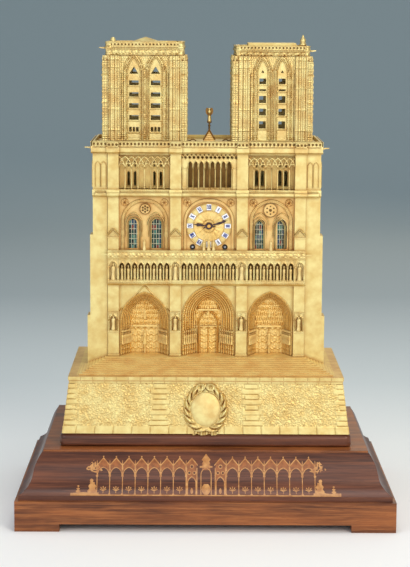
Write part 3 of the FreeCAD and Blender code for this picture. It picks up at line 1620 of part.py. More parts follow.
def pendulum():
    """Rod with a hook under the suspension spring and a lens-shaped bob."""
    x, z = pivot
    top = z - spring_length + cock_low - hook_gap
    bottom = z - pendulum_length
    hook = box(x - spring_width / 2, x + spring_width / 2, rod_plane - rod_radius, rod_plane + rod_radius,
               top - cock_height, top)
    rod = rod_z(x, rod_plane, rod_radius, bottom - bob_radius - cock_height, top - cock_height / 2)
    half, edge = bob_thick / 2, bob_edge / 2
    rise = half - edge
    sphere = (bob_radius * bob_radius + rise * rise) / (2 * rise)
    lens = rod_y(x, bottom, bob_radius, rod_plane - half, rod_plane + half)
    for side in (-1, 1):
        ball = Part.makeSphere(sphere, vec(x, rod_plane + side * (half - sphere), bottom))
        lens = lens.common(ball)
    nut = rod_z(x, rod_plane, nut_radius, bottom - bob_radius - cock_height / 2, bottom - bob_radius - nut_height / 4)
    return fused([rod, hook, lens, nut])


def cannon_pinion():
    """Pipe on the centre arbor; it carries the minute hand and drives the motion work."""
    front = minute_hand_plane()
    y0 = cannon_plane
    pipe = rod_y(centre[0], centre[1], cannon_outer(), front, front_plate - air)
    teeth = gear(centre, cannon_teeth, cannon_module, 0, y0, y0 + pinion_reach / 2)
    shape = fused([pipe, teeth])
    return shape.cut(rod_y(centre[0], centre[1], cannon_bore(), front - overrun, front_plate + overrun))


def minute_wheel():
    """Motion wheel with its small pinion, on a stud of the front plate."""
    y0 = cannon_plane + (pinion_reach / 2 - motion_thick) / 2
    phase = meshed_phase(centre, cannon_teeth, 0, motion, minute_teeth)
    wheel = gear(motion, minute_teeth, cannon_module, phase, y0, y0 + motion_thick)
    pinion = gear(motion, minute_pinion_teeth, hour_module, 0, hour_plane - air, y0)
    shape = fused([wheel, pinion])
    return shape.cut(rod_y(motion[0], motion[1], arbor_radius + pivot_play, hour_plane - overrun,
                           y0 + motion_thick + overrun))


def hour_wheel():
    phase = meshed_phase(motion, minute_pinion_teeth, 0, centre, hour_teeth)
    wheel = gear(centre, hour_teeth, hour_module, phase, hour_plane, hour_plane + motion_thick)
    pipe = rod_y(centre[0], centre[1], hour_pipe_outer(), hour_hand_plane(), hour_plane + motion_thick)
    shape = fused([wheel, pipe])
    return shape.cut(rod_y(centre[0], centre[1], hour_pipe_bore(), hour_hand_plane() - overrun,
                           hour_plane + motion_thick + overrun))


def pin_wheel():
    """Wheel whose pins lift the hammer tail."""
    great = barrel_front + barrel_length + wheel_thick / 2
    phase = meshed_phase(strike, barrel_teeth, 0, pin_place, large_pinion_teeth)
    pinion = gear(pin_place, large_pinion_teeth, barrel_module, phase, great - pinion_reach / 2,
                  great + pinion_reach / 2)
    wheel = gear(pin_place, pin_teeth, pin_module, 0, pin_plane, pin_plane + wheel_thick, True)
    ring = pin_teeth * pin_module / 2 * (1 + rim_share) / 2
    pins = []
    for index in range(lift_pin_count):
        x, z = polar(pin_place, ring, 360 * index / lift_pin_count)
        pins.append(rod_y(x, z, lift_pin_radius, pin_plane, pin_plane + wheel_thick + lift_pin_length))
    return fused([arbor(pin_place), pinion, wheel] + pins)


def warning_wheel():
    y0 = pin_plane + wheel_thick / 2
    phase = meshed_phase(pin_place, pin_teeth, 0, warning, small_pinion_teeth)
    pinion = gear(warning, small_pinion_teeth, pin_module, phase, y0 - pinion_reach / 2, y0 + pinion_reach / 2)
    wheel = gear(warning, warning_teeth, warning_module, 0, warning_plane, warning_plane + wheel_thick, True)
    return fused([arbor(warning), pinion, wheel])


def fly():
    """Two-bladed air brake on the last arbor."""
    y0 = warning_plane + wheel_thick / 2
    phase = meshed_phase(warning, warning_teeth, 0, fly_place, small_pinion_teeth)
    pinion = gear(fly_place, small_pinion_teeth, warning_module, phase, y0 - pinion_reach / 2, y0 + pinion_reach / 2)
    x, z = fly_place
    blade = box(x - fly_half_width, x + fly_half_width, fly_front, fly_front + fly_length, z - fly_thick / 2,
                z + fly_thick / 2)
    return fused([arbor(fly_place), pinion, blade])


def post_places():
    return [polar(centre, post_ring, angle) for angle in post_angles]


def plate_pillars():
    """Five posts from the window wall through both plates, with a nut behind each."""
    posts = []
    for x, z in post_places():
        neck = post_radius - arbor_radius / 2
        posts.append(fused([rod_y(x, z, post_boss, wall_back, front_plate),
                            rod_y(x, z, neck, wall_back, movement_back + nut_height),
                            rod_y(x, z, post_radius + arbor_radius, front_plate + plate_thick, back_plate),
                            rod_y(x, z, nut_radius, movement_back, movement_back + nut_height)]))
    return group(posts)


def movement_plates():
    """Round front and back plates, pierced for every arbor; the front one carries the motion stud."""
    plates = []
    arbors = [(centre, centre_radius), (going, barrel_arbor), (strike, barrel_arbor), (intermediate, arbor_radius),
              (third, arbor_radius), (escape, arbor_radius), (pivot, arbor_radius), (pin_place, arbor_radius),
              (warning, arbor_radius), (fly_place, arbor_radius), (hammer_pivot, arbor_radius)]
    for y0 in (front_plate, back_plate):
        plate = rod_y(centre[0], centre[1], plate_radius, y0, y0 + plate_thick)
        holes = [rod_y(place[0], place[1], radius + pivot_play, y0 - overrun, y0 + plate_thick + overrun)
                 for place, radius in arbors]
        holes += [rod_y(x, z, post_radius - arbor_radius / 2, y0 - overrun, y0 + plate_thick + overrun)
                  for x, z in post_places()]
        plates.append(plate.cut(group(holes)))
    stud = rod_y(motion[0], motion[1], arbor_radius, hour_plane - air, front_plate)
    plates[0] = fused([plates[0], stud])
    return group(plates)


def bell():
    """Cup-shaped bell, mouth towards the movement."""
    x, z = centre
    shoulder = bell_crown_share * bell_radius

    def shell(radius, depth):
        middle = vec(radius * bell_swell_shares[0], depth * bell_swell_shares[1], 0)
        edges = [Part.makeLine(vec(0, 0, 0), vec(radius, 0, 0)),
                 Part.Arc(vec(radius, 0, 0), middle, vec(shoulder * radius / bell_radius, depth, 0)).toShape(),
                 Part.makeLine(vec(shoulder * radius / bell_radius, depth, 0), vec(0, depth, 0)),
                 Part.makeLine(vec(0, depth, 0), vec(0, 0, 0))]
        solid = Part.Face(Part.Wire(edges)).revolve(vec(0, 0, 0), vec(0, 1, 0), 360)
        return solid if solid.Solids else Part.makeSolid(solid.Shells[0])

    cup = shell(bell_radius, bell_depth).cut(shell(bell_radius - bell_wall, bell_depth - bell_wall))
    cup.translate(vec(x, bell_mouth, z))
    return cup.cut(rod_y(x, z, stand_radius / 2 + seat_gap, bell_mouth, bell_mouth + bell_depth + overrun))


def bell_stand():
    """Post on the back plate, arm behind the bell, and the screw that holds the bell on it."""
    x, z = centre
    crown = bell_mouth + bell_depth
    side = x + stand_side
    arm_y = crown + stand_radius
    post = rod_y(side, z, stand_radius, movement_back, crown + 2 * stand_radius)
    arm = box(x - stand_radius, side, crown, crown + 2 * stand_radius, z - stand_radius, z + stand_radius)
    screw = fused([rod_y(x, z, stand_radius / 2, crown - bell_wall - nut_height, crown + stand_radius),
                   rod_y(x, z, nut_radius, crown - bell_wall - nut_height, crown - bell_wall)])
    return fused([post, arm, screw])


def hammer():
    """Arbor with an arm behind the back plate and a head beside the bell's rim."""
    x, z = hammer_pivot
    reach = bell_radius + hammer_gap + hammer_head_length / 2
    head_x, head_z = polar(centre, reach, hammer_bearing)
    angle = math.radians(hammer_bearing)
    direction = vec(math.cos(angle), 0, math.sin(angle))
    y0 = bell_mouth - air - hammer_arm
    middle = y0 + hammer_arm + hammer_head_share * hammer_head_radius
    start = vec(head_x, middle, head_z) - direction * (hammer_head_length / 2)
    head = Part.makeCylinder(hammer_head_radius, hammer_head_length, start, direction)
    span = math.hypot(head_x - x, head_z - z)
    half = hammer_arm / 2
    arm = prism_y([(0, -half), (span, -half), (span, half), (0, half)], y0, y0 + hammer_arm)
    arm.rotate(vec(0, 0, 0), vec(0, 1, 0), -math.degrees(math.atan2(head_z - z, head_x - x)))
    arm.translate(vec(x, 0, z))
    return fused([rod_y(x, z, arbor_radius, front_plate, y0 + hammer_arm), rod_y(x, z, hammer_arm, y0,
                  y0 + hammer_arm), arm, head])


nodes = {
    "plinth_frame": plinth_frame,
    "ogee_moulding": ogee_moulding,
    "carrying_board": carrying_board,
    "torus_step": torus_step,
    "marquetry_inlay": marquetry_inlay,
    "case_bolts": case_bolts,
    "terrace_walls": terrace_walls,
    "terrace_coping": terrace_coping,
    "terrace_deck": terrace_deck,
    "medallion": medallion,
    "side_walls": side_walls,
    "back_wall": back_wall,
    "rear_door": rear_door,
    "buttress_pillars": buttress_pillars,
    "portal_wall": portal_wall,
    "portal_arches": portal_arches,
    "portal_doors": portal_doors,
    "portal_statues": portal_statues,
    "kings_gallery": kings_gallery,
    "gallery_statues": gallery_statues,
    "storey_mouldings": storey_mouldings,
    "window_wall": window_wall,
    "window_glass": window_glass,
    "colonnade": colonnade,
    "colonnade_wall": colonnade_wall,
    "main_cornice": main_cornice,
    "roof_plates": roof_plates,
    "tower_walls": tower_walls,
    "tower_piers": tower_piers,
    "tower_cornices": tower_cornices,
    "tower_pinnacles": tower_pinnacles,
    "gargoyles": gargoyles,
    "nave_gable": nave_gable,
    "dial_plate": dial_plate,
    "hour_plaques": hour_plaques,
    "winding_collets": winding_collets,
    "hour_hand": hour_hand,
    "minute_hand": minute_hand,
    "movement_plates": movement_plates,
    "plate_pillars": plate_pillars,
    "suspension_cock": suspension_cock,
    "bell": bell,
    "bell_stand": bell_stand,
    "going_barrel": going_barrel,
    "intermediate_wheel": intermediate_wheel,
    "centre_wheel": centre_wheel,
    "third_wheel": third_wheel,
    "escape_wheel": escape_wheel,
    "anchor": anchor,
    "pendulum": pendulum,
    "cannon_pinion": cannon_pinion,
    "minute_wheel": minute_wheel,
    "hour_wheel": hour_wheel,
    "strike_barrel": strike_barrel,
    "pin_wheel": pin_wheel,
    "warning_wheel": warning_wheel,
    "fly": fly,
    "hammer": hammer,
}

os.makedirs("parts", exist_ok=True)
for name, make in nodes.items():
    shape = make()
    shape.exportStep("parts/" + name + ".step")
for name, place in (("going_arbor", going), ("strike_arbor", strike)):
    winding_arbor(place).exportStep("parts/" + name + ".step")
print(len(nodes) + 2, "nodes")
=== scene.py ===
import functools
import json
import math

import bpy
import numpy as np
from mathutils import Matrix, Vector


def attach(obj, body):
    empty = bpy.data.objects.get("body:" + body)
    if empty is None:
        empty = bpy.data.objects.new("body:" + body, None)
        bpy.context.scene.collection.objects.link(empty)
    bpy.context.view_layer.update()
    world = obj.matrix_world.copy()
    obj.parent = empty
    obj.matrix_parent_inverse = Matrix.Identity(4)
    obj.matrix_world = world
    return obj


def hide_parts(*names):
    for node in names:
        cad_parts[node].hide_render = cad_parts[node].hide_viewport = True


mm = 0.001
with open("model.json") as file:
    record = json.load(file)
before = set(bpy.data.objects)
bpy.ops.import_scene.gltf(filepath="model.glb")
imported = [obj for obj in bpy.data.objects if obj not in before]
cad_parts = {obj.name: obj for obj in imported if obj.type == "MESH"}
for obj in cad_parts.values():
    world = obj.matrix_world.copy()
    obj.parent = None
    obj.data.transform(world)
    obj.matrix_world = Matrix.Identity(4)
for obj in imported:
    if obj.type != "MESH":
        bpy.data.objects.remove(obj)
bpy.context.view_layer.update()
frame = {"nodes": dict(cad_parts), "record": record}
pi = math.pi


# Colours and materials

def hexColor(text):
    values = [int(text[i:i + 2], 16) / 255 for i in (0, 2, 4)]
    return tuple(v / 12.92 if v <= 0.04045 else ((v + 0.055) / 1.055) ** 2.4 for v in values) + (1.0,)


def addNode(tree, kind, inputs=None, **settings):
    node = tree.nodes.new(kind)
    for key, value in settings.items():
        setattr(node, key, value)
    for key, value in (inputs or {}).items():
        if hasattr(value, "is_output"):
            tree.links.new(value, node.inputs[key])
        else:
            node.inputs[key].default_value = value
    return node


def newMaterial(name):
    material = bpy.data.materials.new(name)
    material.use_nodes = True
    tree = material.node_tree
    return material, tree, tree.nodes["Principled BSDF"], addNode(tree, "ShaderNodeTexCoord").outputs["Object"]


def blend(tree, share, first, second):  # a colour between two, by a share
    node = addNode(tree, "ShaderNodeMix", {0: share, 6: first, 7: second}, data_type="RGBA")
    return node.outputs[2]


def remap(tree, value, low, high, newLow=0.0, newHigh=1.0):
    inputs = {"Value": value, "From Min": low, "From Max": high, "To Min": newLow, "To Max": newHigh}
    return addNode(tree, "ShaderNodeMapRange", inputs).outputs[0]


def colorRamp(tree, value, stops, interpolation="LINEAR"):  # the first and last stop are the ramp's own ends
    ramp = addNode(tree, "ShaderNodeValToRGB", {"Fac": value})
    ramp.color_ramp.interpolation = interpolation
    elements = ramp.color_ramp.elements
    elements[0].color, elements[1].color = hexColor(stops[0][1]), hexColor(stops[-1][1])
    for position, tint in stops[1:-1]:
        elements.new(position).color = hexColor(tint)
    return ramp.outputs[0]


def addBump(tree, shader, height, strength, distance=0.1):  # distance in mm
    bump = addNode(tree, "ShaderNodeBump", {"Height": height, "Strength": strength, "Distance": distance * mm})
    tree.links.new(bump.outputs[0], shader.inputs["Normal"])


shaderInputs = {"color": "Base Color", "rough": "Roughness", "metal": "Metallic", "shine": "Specular IOR Level",
                "coat": "Coat Weight", "coatRough": "Coat Roughness"}


def setInputs(tree, shader, **values):  # a socket is linked, a number is set
    for key, value in values.items():
        socket = shader.inputs[shaderInputs[key]]
        if hasattr(value, "is_output"):
            tree.links.new(value, socket)
        else:
            socket.default_value = value


def speckle(tree, place, size, detail=2.0, rough=0.5, stretch=None):  # noise whose blotches are size mm wide
    if stretch:
        place = addNode(tree, "ShaderNodeMapping", {"Vector": place, "Scale": stretch}).outputs[0]
    inputs = {"Vector": place, "Scale": 1000.0 / size, "Detail": detail, "Roughness": rough}
    return addNode(tree, "ShaderNodeTexNoise", inputs).outputs["Fac"]


# Mercury gilding on cast and chased bronze: bright yellow on faces that were rubbed, a satin grain, small dull
# clouds.
# Warm orange to dark brown in the hollows: painted shade laid on by an ambient-occlusion mask, over the duller
# gilding where the brush never reached.
# hollow is the painted shade colour in creases and recesses, deep how strongly it is laid on, reach in mm how far the
# occlusion looks
gildings = {
    "matt_gilding": {"bright": "e6d694", "dull": "d5b873", "hollow": "b07c3e", "deep": 0.8, "reach": 6.0,
                     "grain": 0.9, "bump": 0.25, "rough": (0.40, 0.54), "metal": 0.84},
    "chased_gilding": {"bright": "e6d694", "dull": "d2b270", "hollow": "8a561e", "deep": 1.0, "reach": 3.6,
                       "grain": 0.7, "bump": 0.30, "rough": (0.34, 0.48), "metal": 0.86},
    "worn_gilding": {"bright": "ecd286", "dull": "deb66c", "hollow": "a06a2e", "deep": 0.85, "reach": 3.4,
                     "grain": 1.1, "bump": 0.25, "rough": (0.45, 0.6), "metal": 0.35},
    "warm_gilding": {"bright": "f2d68e", "dull": "e4be70", "hollow": "b47c36", "deep": 0.95, "reach": 1.8,
                     "grain": 0.7, "bump": 0.25, "rough": (0.40, 0.52), "metal": 0.8},
    "figure_gilding": {"bright": "eed99a", "dull": "dfc07a", "hollow": "98602a", "deep": 0.55, "reach": 1.6,
                       "grain": 0.7, "bump": 0.25, "rough": (0.42, 0.55), "metal": 0.6},
    # tawny shaded gilding: a darker copy of the gilding, painted shade on recessed and set-back parts
    "tawny_shaded_gilding": {"bright": "e6c684", "dull": "d2a662", "hollow": "9a602a", "deep": 0.9, "reach": 4.0,
                      "grain": 0.8, "bump": 0.25, "rough": (0.40, 0.54), "metal": 0.7},
    # shaded gilding: a dark copy of the gilding, painted shade for sheets behind openings and for the set-back gable
    "shaded_gilding": {"bright": "96703a", "dull": "70501f", "hollow": "2e1c0a", "deep": 1.0, "reach": 8.0,
                       "grain": 1.0, "bump": 0.2, "rough": (0.5, 0.65), "metal": 0.7},
}


def gilding(name):
    kind = gildings[name]
    material, tree, shader, place = newMaterial(name)
    clouds = speckle(tree, place, 16.0, 3.0, 0.6)
    grain = speckle(tree, place, kind["grain"], 2.0)
    face = blend(tree, remap(tree, clouds, 0.35, 0.65), hexColor(kind["dull"]), hexColor(kind["bright"]))
    # painted shade: ambient occlusion darkens the colour towards the hollow tint in creases and recesses
    depth = addNode(tree, "ShaderNodeAmbientOcclusion", {"Distance": kind["reach"] * mm}, samples=6)
    shade = remap(tree, depth.outputs["AO"], 0.30, 0.92, kind["deep"], 0.0)
    setInputs(tree, shader, color=blend(tree, shade, face, hexColor(kind["hollow"])),
              rough=remap(tree, clouds, 0.3, 0.7, *kind["rough"]), metal=kind["metal"])
    addBump(tree, shader, grain, kind["bump"], 0.12)
    return material


# French-polished rosewood veneer laid with its grain along each board: brown ground, dark figure
# in flames some 20 mm wide, fine pores, a soft shine.
woods = {
    "polished_rosewood": {"pale": "804b30", "mid": "683821", "dark": "402218", "flame": 26.0},
    "plinth_rosewood": {"pale": "b4703c", "mid": "905228", "dark": "542b15", "flame": 15.0},
}


def rosewood(name):
    kind = woods[name]
    material, tree, shader, place = newMaterial(name)
    flames = speckle(tree, place, kind["flame"], 4.0, 0.6, (0.10, 0.35, 1.0))
    lines = speckle(tree, place, 3.0, 3.0, 0.7, (0.03, 0.2, 1.0))
    pores = speckle(tree, place, 0.7, 1.0, 0.5, (0.05, 0.4, 1.0))
    base = blend(tree, remap(tree, flames, 0.36, 0.62), hexColor(kind["dark"]), hexColor(kind["mid"]))
    base = blend(tree, remap(tree, lines, 0.45, 0.75, 0.0, 0.8), base, hexColor(kind["pale"]))
    base = blend(tree, remap(tree, pores, 0.62, 0.72, 0.0, 0.5), base, hexColor(kind["dark"]))
    setInputs(tree, shader, color=base, rough=remap(tree, flames, 0.3, 0.7, 0.30, 0.42), shine=0.32, coat=0.12,
              coatRough=0.18)
    addBump(tree, shader, pores, 0.12)
    return material


# Simple finishes: colour pair, cloud size in mm, metallic, roughness, fine bump
finishes = {
    "boxwood_inlay": ("c68f52", "a66c36", 6.0, 0.0, 0.35, 0.05),      # sawn light veneer, polished flush
    "satinwood_inlay": ("9c5a26", "7c451c", 5.0, 0.0, 0.35, 0.05),    # warmer veneer in the gables
    "lacquered_brass": ("e2b45c", "c99642", 12.0, 0.9, 0.32, 0.1),    # turned and grained movement parts
    "polished_steel": ("a8a8ac", "8c8c92", 8.0, 1.0, 0.28, 0.08),     # pivots, arbors, screws
    "blued_steel": ("54403c", "32242a", 5.0, 0.6, 0.34, 0.05),        # heat-blued, worn to brown
    "blackened_steel": ("1c1816", "0e0c0b", 4.0, 0.3, 0.45, 0.05),
    "fired_enamel": ("f1f2f4", "e2e5ee", 5.0, 0.0, 0.16, 0.05),       # slightly pooled white glass
    "blue_enamel": ("2a3a86", "1d2a66", 3.0, 0.0, 0.2, 0.05),
    "bell_bronze": ("c9a45c", "a17c3c", 10.0, 0.95, 0.3, 0.1),
    "lead_strip": ("d6d2b4", "a6a286", 3.0, 0.4, 0.5, 0.2),
}


def finish(name):
    first, second, size, metallic, rough, relief = finishes[name]
    material, tree, shader, place = newMaterial(name)
    clouds = speckle(tree, place, size, 3.0)
    color = blend(tree, remap(tree, clouds, 0.35, 0.65), hexColor(second), hexColor(first))
    setInputs(tree, shader, color=color, rough=remap(tree, clouds, 0.3, 0.7, rough * 0.85, rough * 1.2),
              metal=metallic)
    addBump(tree, shader, speckle(tree, place, 0.5), relief)
    return material


# Painted glass in the windows: panes about 3 mm wide in deep green, blue, amber and red
glass = {"pane": (330.0, 1.0, 150.0), "ripple": 2.0, "shine": 0.25,
         "stops": ((0.0, "1d3f36"), (0.30, "3f7364"), (0.50, "141e1c"), (0.68, "2c4660"), (0.80, "7e352a"),
                   (0.92, "58867c"), (1.0, "58867c"))}


def paintedGlass():
    material, tree, shader, place = newMaterial("painted_glass")
    cell = addNode(tree, "ShaderNodeMapping", {"Vector": place, "Scale": glass["pane"]}).outputs[0]
    cell = addNode(tree, "ShaderNodeVectorMath", {0: cell}, operation="FLOOR").outputs[0]
    pick = addNode(tree, "ShaderNodeTexWhiteNoise", {"Vector": cell}).outputs["Value"]
    ripple = speckle(tree, place, glass["ripple"])
    setInputs(tree, shader, color=colorRamp(tree, pick, glass["stops"], "CONSTANT"),
              rough=remap(tree, ripple, 0.3, 0.7, 0.12, 0.25), shine=glass["shine"])
    addBump(tree, shader, ripple, 0.2)
    return material


materials = {name: gilding(name) for name in gildings}
materials.update({name: rosewood(name) for name in woods})
materials.update({name: finish(name) for name in finishes})
materials["painted_glass"] = paintedGlass()
print("materials made")

slotMaterials = {"gilt_masonry": "matt_gilding", "gilt_castings": "chased_gilding",
                 "plinth_veneer": "plinth_rosewood", "ogee_veneer": "polished_rosewood",
                 "pale_inlay": "boxwood_inlay", "movement_brass": "lacquered_brass", "steel": "polished_steel",
                 "blued_steel": "blued_steel", "white_enamel": "fired_enamel", "leaded_glass": "painted_glass",
                 "bell_metal": "bell_bronze", "dark_collet": "blackened_steel"}
# CAD parts that take another copy of the gilding; the tawny shaded copy paints shade on the coping and the window
# wall
nodeMaterials = {"colonnade_wall": "worn_gilding", "terrace_deck": "worn_gilding", "terrace_coping": "tawny_shaded_gilding",
                 "window_wall": "tawny_shaded_gilding"}
slotOf = {part["node"]: part["material_slot"] for part in frame["record"]["subparts"]}
for name, node in frame["nodes"].items():
    for slot in node.material_slots:
        slot.material = materials[nodeMaterials.get(name, slotMaterials[slotOf[name]])]


# Mesh tools. A part is (points in mm, quads, triangles); a place turns (u, v, w) into x, y, z.
# In the functions of a surface uu, vv and ww are the grids of u, v and w. A field is a distance over such a
# grid, above zero inside its shape; relief keeps what is above zero.

def upright(origin, angle=0.0, lean=0.0):
    # A plane that faces -y at angle 0, +x at 90, +y at 180 and -x at 270; lean tips its top backwards.
    # point = origin + u * along + v * up + w * out
    turn, tip = math.radians(angle), math.radians(lean)
    along = np.array((math.cos(turn), math.sin(turn), 0.0))
    flat = np.array((math.sin(turn), -math.cos(turn), 0.0))
    up = math.sin(tip) * -flat + math.cos(tip) * np.array((0.0, 0.0, 1.0))
    out = np.cross(along, up)
    start = np.array(origin, float)
    return lambda u, v, w: (start + np.asarray(u, float)[..., None] * along + np.asarray(v, float)[..., None] * up
                            + np.asarray(w, float)[..., None] * out)


def cells(rows, cols, closeRows=False, closeCols=False):
    i = np.arange(rows if closeRows else rows - 1)[:, None]
    j = np.arange(cols if closeCols else cols - 1)[None, :]
    down, right = (i + 1) % rows, (j + 1) % cols
    corners = (i * cols + j, down * cols + j, down * cols + right, i * cols + right)
    return np.stack(np.broadcast_arrays(*corners), axis=-1).reshape(-1, 4)


noTriangles = np.zeros((0, 3), int)


def ridge(distance, width):  # bell-shaped: exp(-(distance / width)^2)
    return np.exp(-(distance / width) ** 2)


def wave(along, pitch):
    return np.sin(2 * pi * along / pitch)


def least(*fields):  # what lies in all of the shapes
    return functools.reduce(np.minimum, fields)


def most(*fields):  # what lies in any of them
    return functools.reduce(np.maximum, fields)


def columnsOf(profile):  # (out, lift) pairs as two columns
    return (np.asarray(values, float)[:, None] for values in zip(*profile))


def span(low, high, step):  # grid values with at most this step
    return np.linspace(low, high, max(2, int(round((high - low) / step))) + 1)


def around(middle, reach, step):
    return span(middle - reach, middle + reach, step)


def welded(points, quads):  # merges equal points and turns quads with a doubled corner into triangles
    keys = np.round(points * 2000).astype(np.int64)
    keys = (keys[:, 0] * 4000037 + keys[:, 1]) * 4000037 + keys[:, 2]
    _, first, inverse = np.unique(keys, return_index=True, return_inverse=True)
    quads = inverse.reshape(-1)[quads]
    doubled = quads == np.roll(quads, -1, axis=1)
    count = doubled.sum(1)
    triangles = quads[count == 1][~doubled[count == 1]].reshape(-1, 3)
    return points[first], quads[count == 0], triangles


def sheet(points, closeRows=False, closeCols=False):  # points: rows x cols x 3
    rows, cols = points.shape[:2]
    return welded(points.reshape(-1, 3), cells(rows, cols, closeRows, closeCols))


def capped(points):  # closes the first and last column of a tube with a fan
    first = np.broadcast_to(points[:, :1].mean(0, keepdims=True), points[:, :1].shape)
    last = np.broadcast_to(points[:, -1:].mean(0, keepdims=True), points[:, -1:].shape)
    return np.concatenate((first, points, last), axis=1)


def joined(parts):
    points, quads, triangles, start = [], [], [], 0
    for p, q, t in parts:
        points.append(p)
        quads.append(q + start)
        triangles.append(t + start)
        start += len(p)
    return np.concatenate(points), np.concatenate(quads), np.concatenate(triangles)


def repeated(part, offsets, turns=None, scales=None):
    # copies of a part: points * scale, turned about the upright axis, moved by each offset
    p, q, t = part
    offsets = np.asarray(offsets, float).reshape(-1, 3)
    k = len(offsets)
    scale = np.ones(k) if scales is None else np.broadcast_to(np.asarray(scales, float), (k,))
    turn = np.radians(np.zeros(k) if turns is None else np.broadcast_to(np.asarray(turns, float), (k,)))
    c, s = np.cos(turn)[:, None], np.sin(turn)[:, None]
    x, y, z = (p[None, :, axis] * scale[:, None] for axis in range(3))
    moved = np.stack((x * c - y * s, x * s + y * c, z), -1) + offsets[:, None]
    step = (np.arange(k) * len(p))[:, None, None]
    return moved.reshape(-1, 3), (q[None] + step).reshape(-1, 4), (t[None] + step).reshape(-1, 3)


def placed(part, x, y, z, size=1.0):  # one copy
    return repeated(part, [(x, y, z)], scales=size)


def sunkInto(place, depth):  # the same place, deeper
    return lambda u, v, w: place(u, v, w - depth)


def fourSides(halfX, halfY, centre=(0, 0), z=0.0):
    # of a block's four sides: the angle it faces, half its width and the middle of its foot
    for angle, half, depth in ((0, halfX, halfY), (90, halfY, halfX), (180, halfX, halfY), (270, halfY, halfX)):
        turn = math.radians(angle)
        yield angle, half, (centre[0] + math.sin(turn) * depth, centre[1] - math.cos(turn) * depth, z)


def relief(place, u, v, height, keep=None, back=0.0):
    # A carved slab. Front: w = height(u, v) on a grid. Where keep(u, v) is below zero the slab is cut away,
    # and the points of the rim slide along its slope onto keep = 0. The back is flat at w = back.
    uu, vv = np.meshgrid(u, v, indexing="ij")
    n, m = uu.shape
    solid = np.ones((n - 1, m - 1), bool)
    if keep is not None:
        field = keep(uu, vv)
        solid = (field[:-1, :-1] + field[1:, :-1] + field[:-1, 1:] + field[1:, 1:]) > 0
        around = np.pad(solid, 1).astype(int)
        touching = around[:-1, :-1] + around[1:, :-1] + around[:-1, 1:] + around[1:, 1:]
        rim = (touching > 0) & (touching < 4)
        rim[0], rim[-1], rim[:, 0], rim[:, -1] = False, False, False, False
        slopeU, slopeV = np.gradient(field, u, v)
        share = field / (slopeU ** 2 + slopeV ** 2 + 1e-6)
        stepU, stepV = 0.62 * (u[1] - u[0]), 0.62 * (v[1] - v[0])
        uu = uu - rim * np.clip(share * slopeU, -stepU, stepU)
        vv = vv - rim * np.clip(share * slopeV, -stepV, stepV)
    ww = height(uu, vv) if callable(height) else np.full_like(uu, height)
    corners = cells(n, m).reshape(n - 1, m - 1, 4)
    if keep is None:  # an uncut slab needs only a fan on its flat back
        loop = np.concatenate((np.arange(n) * m, (n - 1) * m + np.arange(1, m), np.arange(n - 2, -1, -1) * m + m - 1,
                               np.arange(m - 2, 0, -1)))
        behind = n * m + np.arange(len(loop))
        u0, v0 = uu.ravel()[loop], vv.ravel()[loop]
        middle = place(np.array([(u[0] + u[-1]) / 2]), np.array([(v[0] + v[-1]) / 2]), np.array([float(back)]))
        points = np.concatenate((place(uu, vv, ww).reshape(-1, 3),
                                 place(u0, v0, np.full_like(u0, back)).reshape(-1, 3), middle.reshape(-1, 3)))
        sides = np.stack((np.roll(loop, -1), loop, behind, np.roll(behind, -1)), -1)
        fan = np.stack((np.roll(behind, -1), behind, np.full(len(loop), n * m + len(loop))), -1)
        return points, np.concatenate((corners.reshape(-1, 4), sides)), fan
    points = np.concatenate((place(uu, vv, ww).reshape(-1, 3), place(uu, vv, np.full_like(uu, back)).reshape(-1, 3)))
    front = corners[solid]
    around = np.pad(solid, 1)
    quads = [front, front[:, ::-1] + n * m]
    sides = ((around[1:-1, :-2], 0, 1), (around[2:, 1:-1], 1, 2), (around[1:-1, 2:], 2, 3), (around[:-2, 1:-1], 3, 0))
    for beside, a, b in sides:
        edge = corners[solid & ~beside]
        quads.append(np.stack((edge[:, b], edge[:, a], edge[:, a] + n * m, edge[:, b] + n * m), -1))
    quads = np.concatenate(quads)
    used, inverse = np.unique(quads, return_inverse=True)
    return points[used], inverse.reshape(-1, 4), noTriangles


def archField(uu, vv, centre, half, spring, rise, foot=-1e9):
    # Distance outwards from a pointed opening: two arcs whose centres lie (rise^2 - half^2) / (2 half)
    # past the middle on the springing line, straight sides below it, a level foot.
    off = (rise * rise - half * half) / (2 * half)
    side = np.abs(uu - centre)
    head = np.hypot(side + off, vv - spring) - (half + off)
    return most(np.where(vv > spring, head, side - half), foot - vv)


def archBand(place, arch, profile, fine=1.5, swell=None):
    # A moulding round a pointed opening. Each profile point (out, lift) keeps the arcs' centres and
    # changes their radius by out; the two halves meet on the centre line. swell adds to the lift.
    centre, half, spring, rise, foot = arch
    out, lift = columnsOf(profile)
    off = (rise * rise - half * half) / (2 * half)
    radius = half + off + out
    top = np.arccos(np.clip(off / radius, -1, 1))
    count = max(6, int(math.hypot(half, rise) * 1.15 / fine))
    angle = top * np.linspace(0, 1, count)[None]
    uu, vv = -off + radius * np.cos(angle), spring + radius * np.sin(angle)
    if spring - foot > 0.01:
        legs = np.linspace(foot, spring, max(2, int((spring - foot) / fine)) + 1)[None, :-1]
        uu = np.concatenate((np.broadcast_to(half + out, (len(out), legs.shape[1])), uu), 1)
        vv = np.concatenate((np.broadcast_to(legs, (len(out), legs.shape[1])), vv), 1)
    uu, vv = np.concatenate((uu, -uu[:, -2::-1]), 1), np.concatenate((vv, vv[:, -2::-1]), 1)
    middle = uu.shape[0] // 2
    along = np.concatenate(((0,), np.cumsum(np.hypot(np.diff(uu[middle]), np.diff(vv[middle])))))[None]
    ww = np.broadcast_to(lift, uu.shape) + (swell(out, along, lift) if swell else 0.0)
    return sheet(capped(place(uu + centre, vv, ww)), closeRows=True)


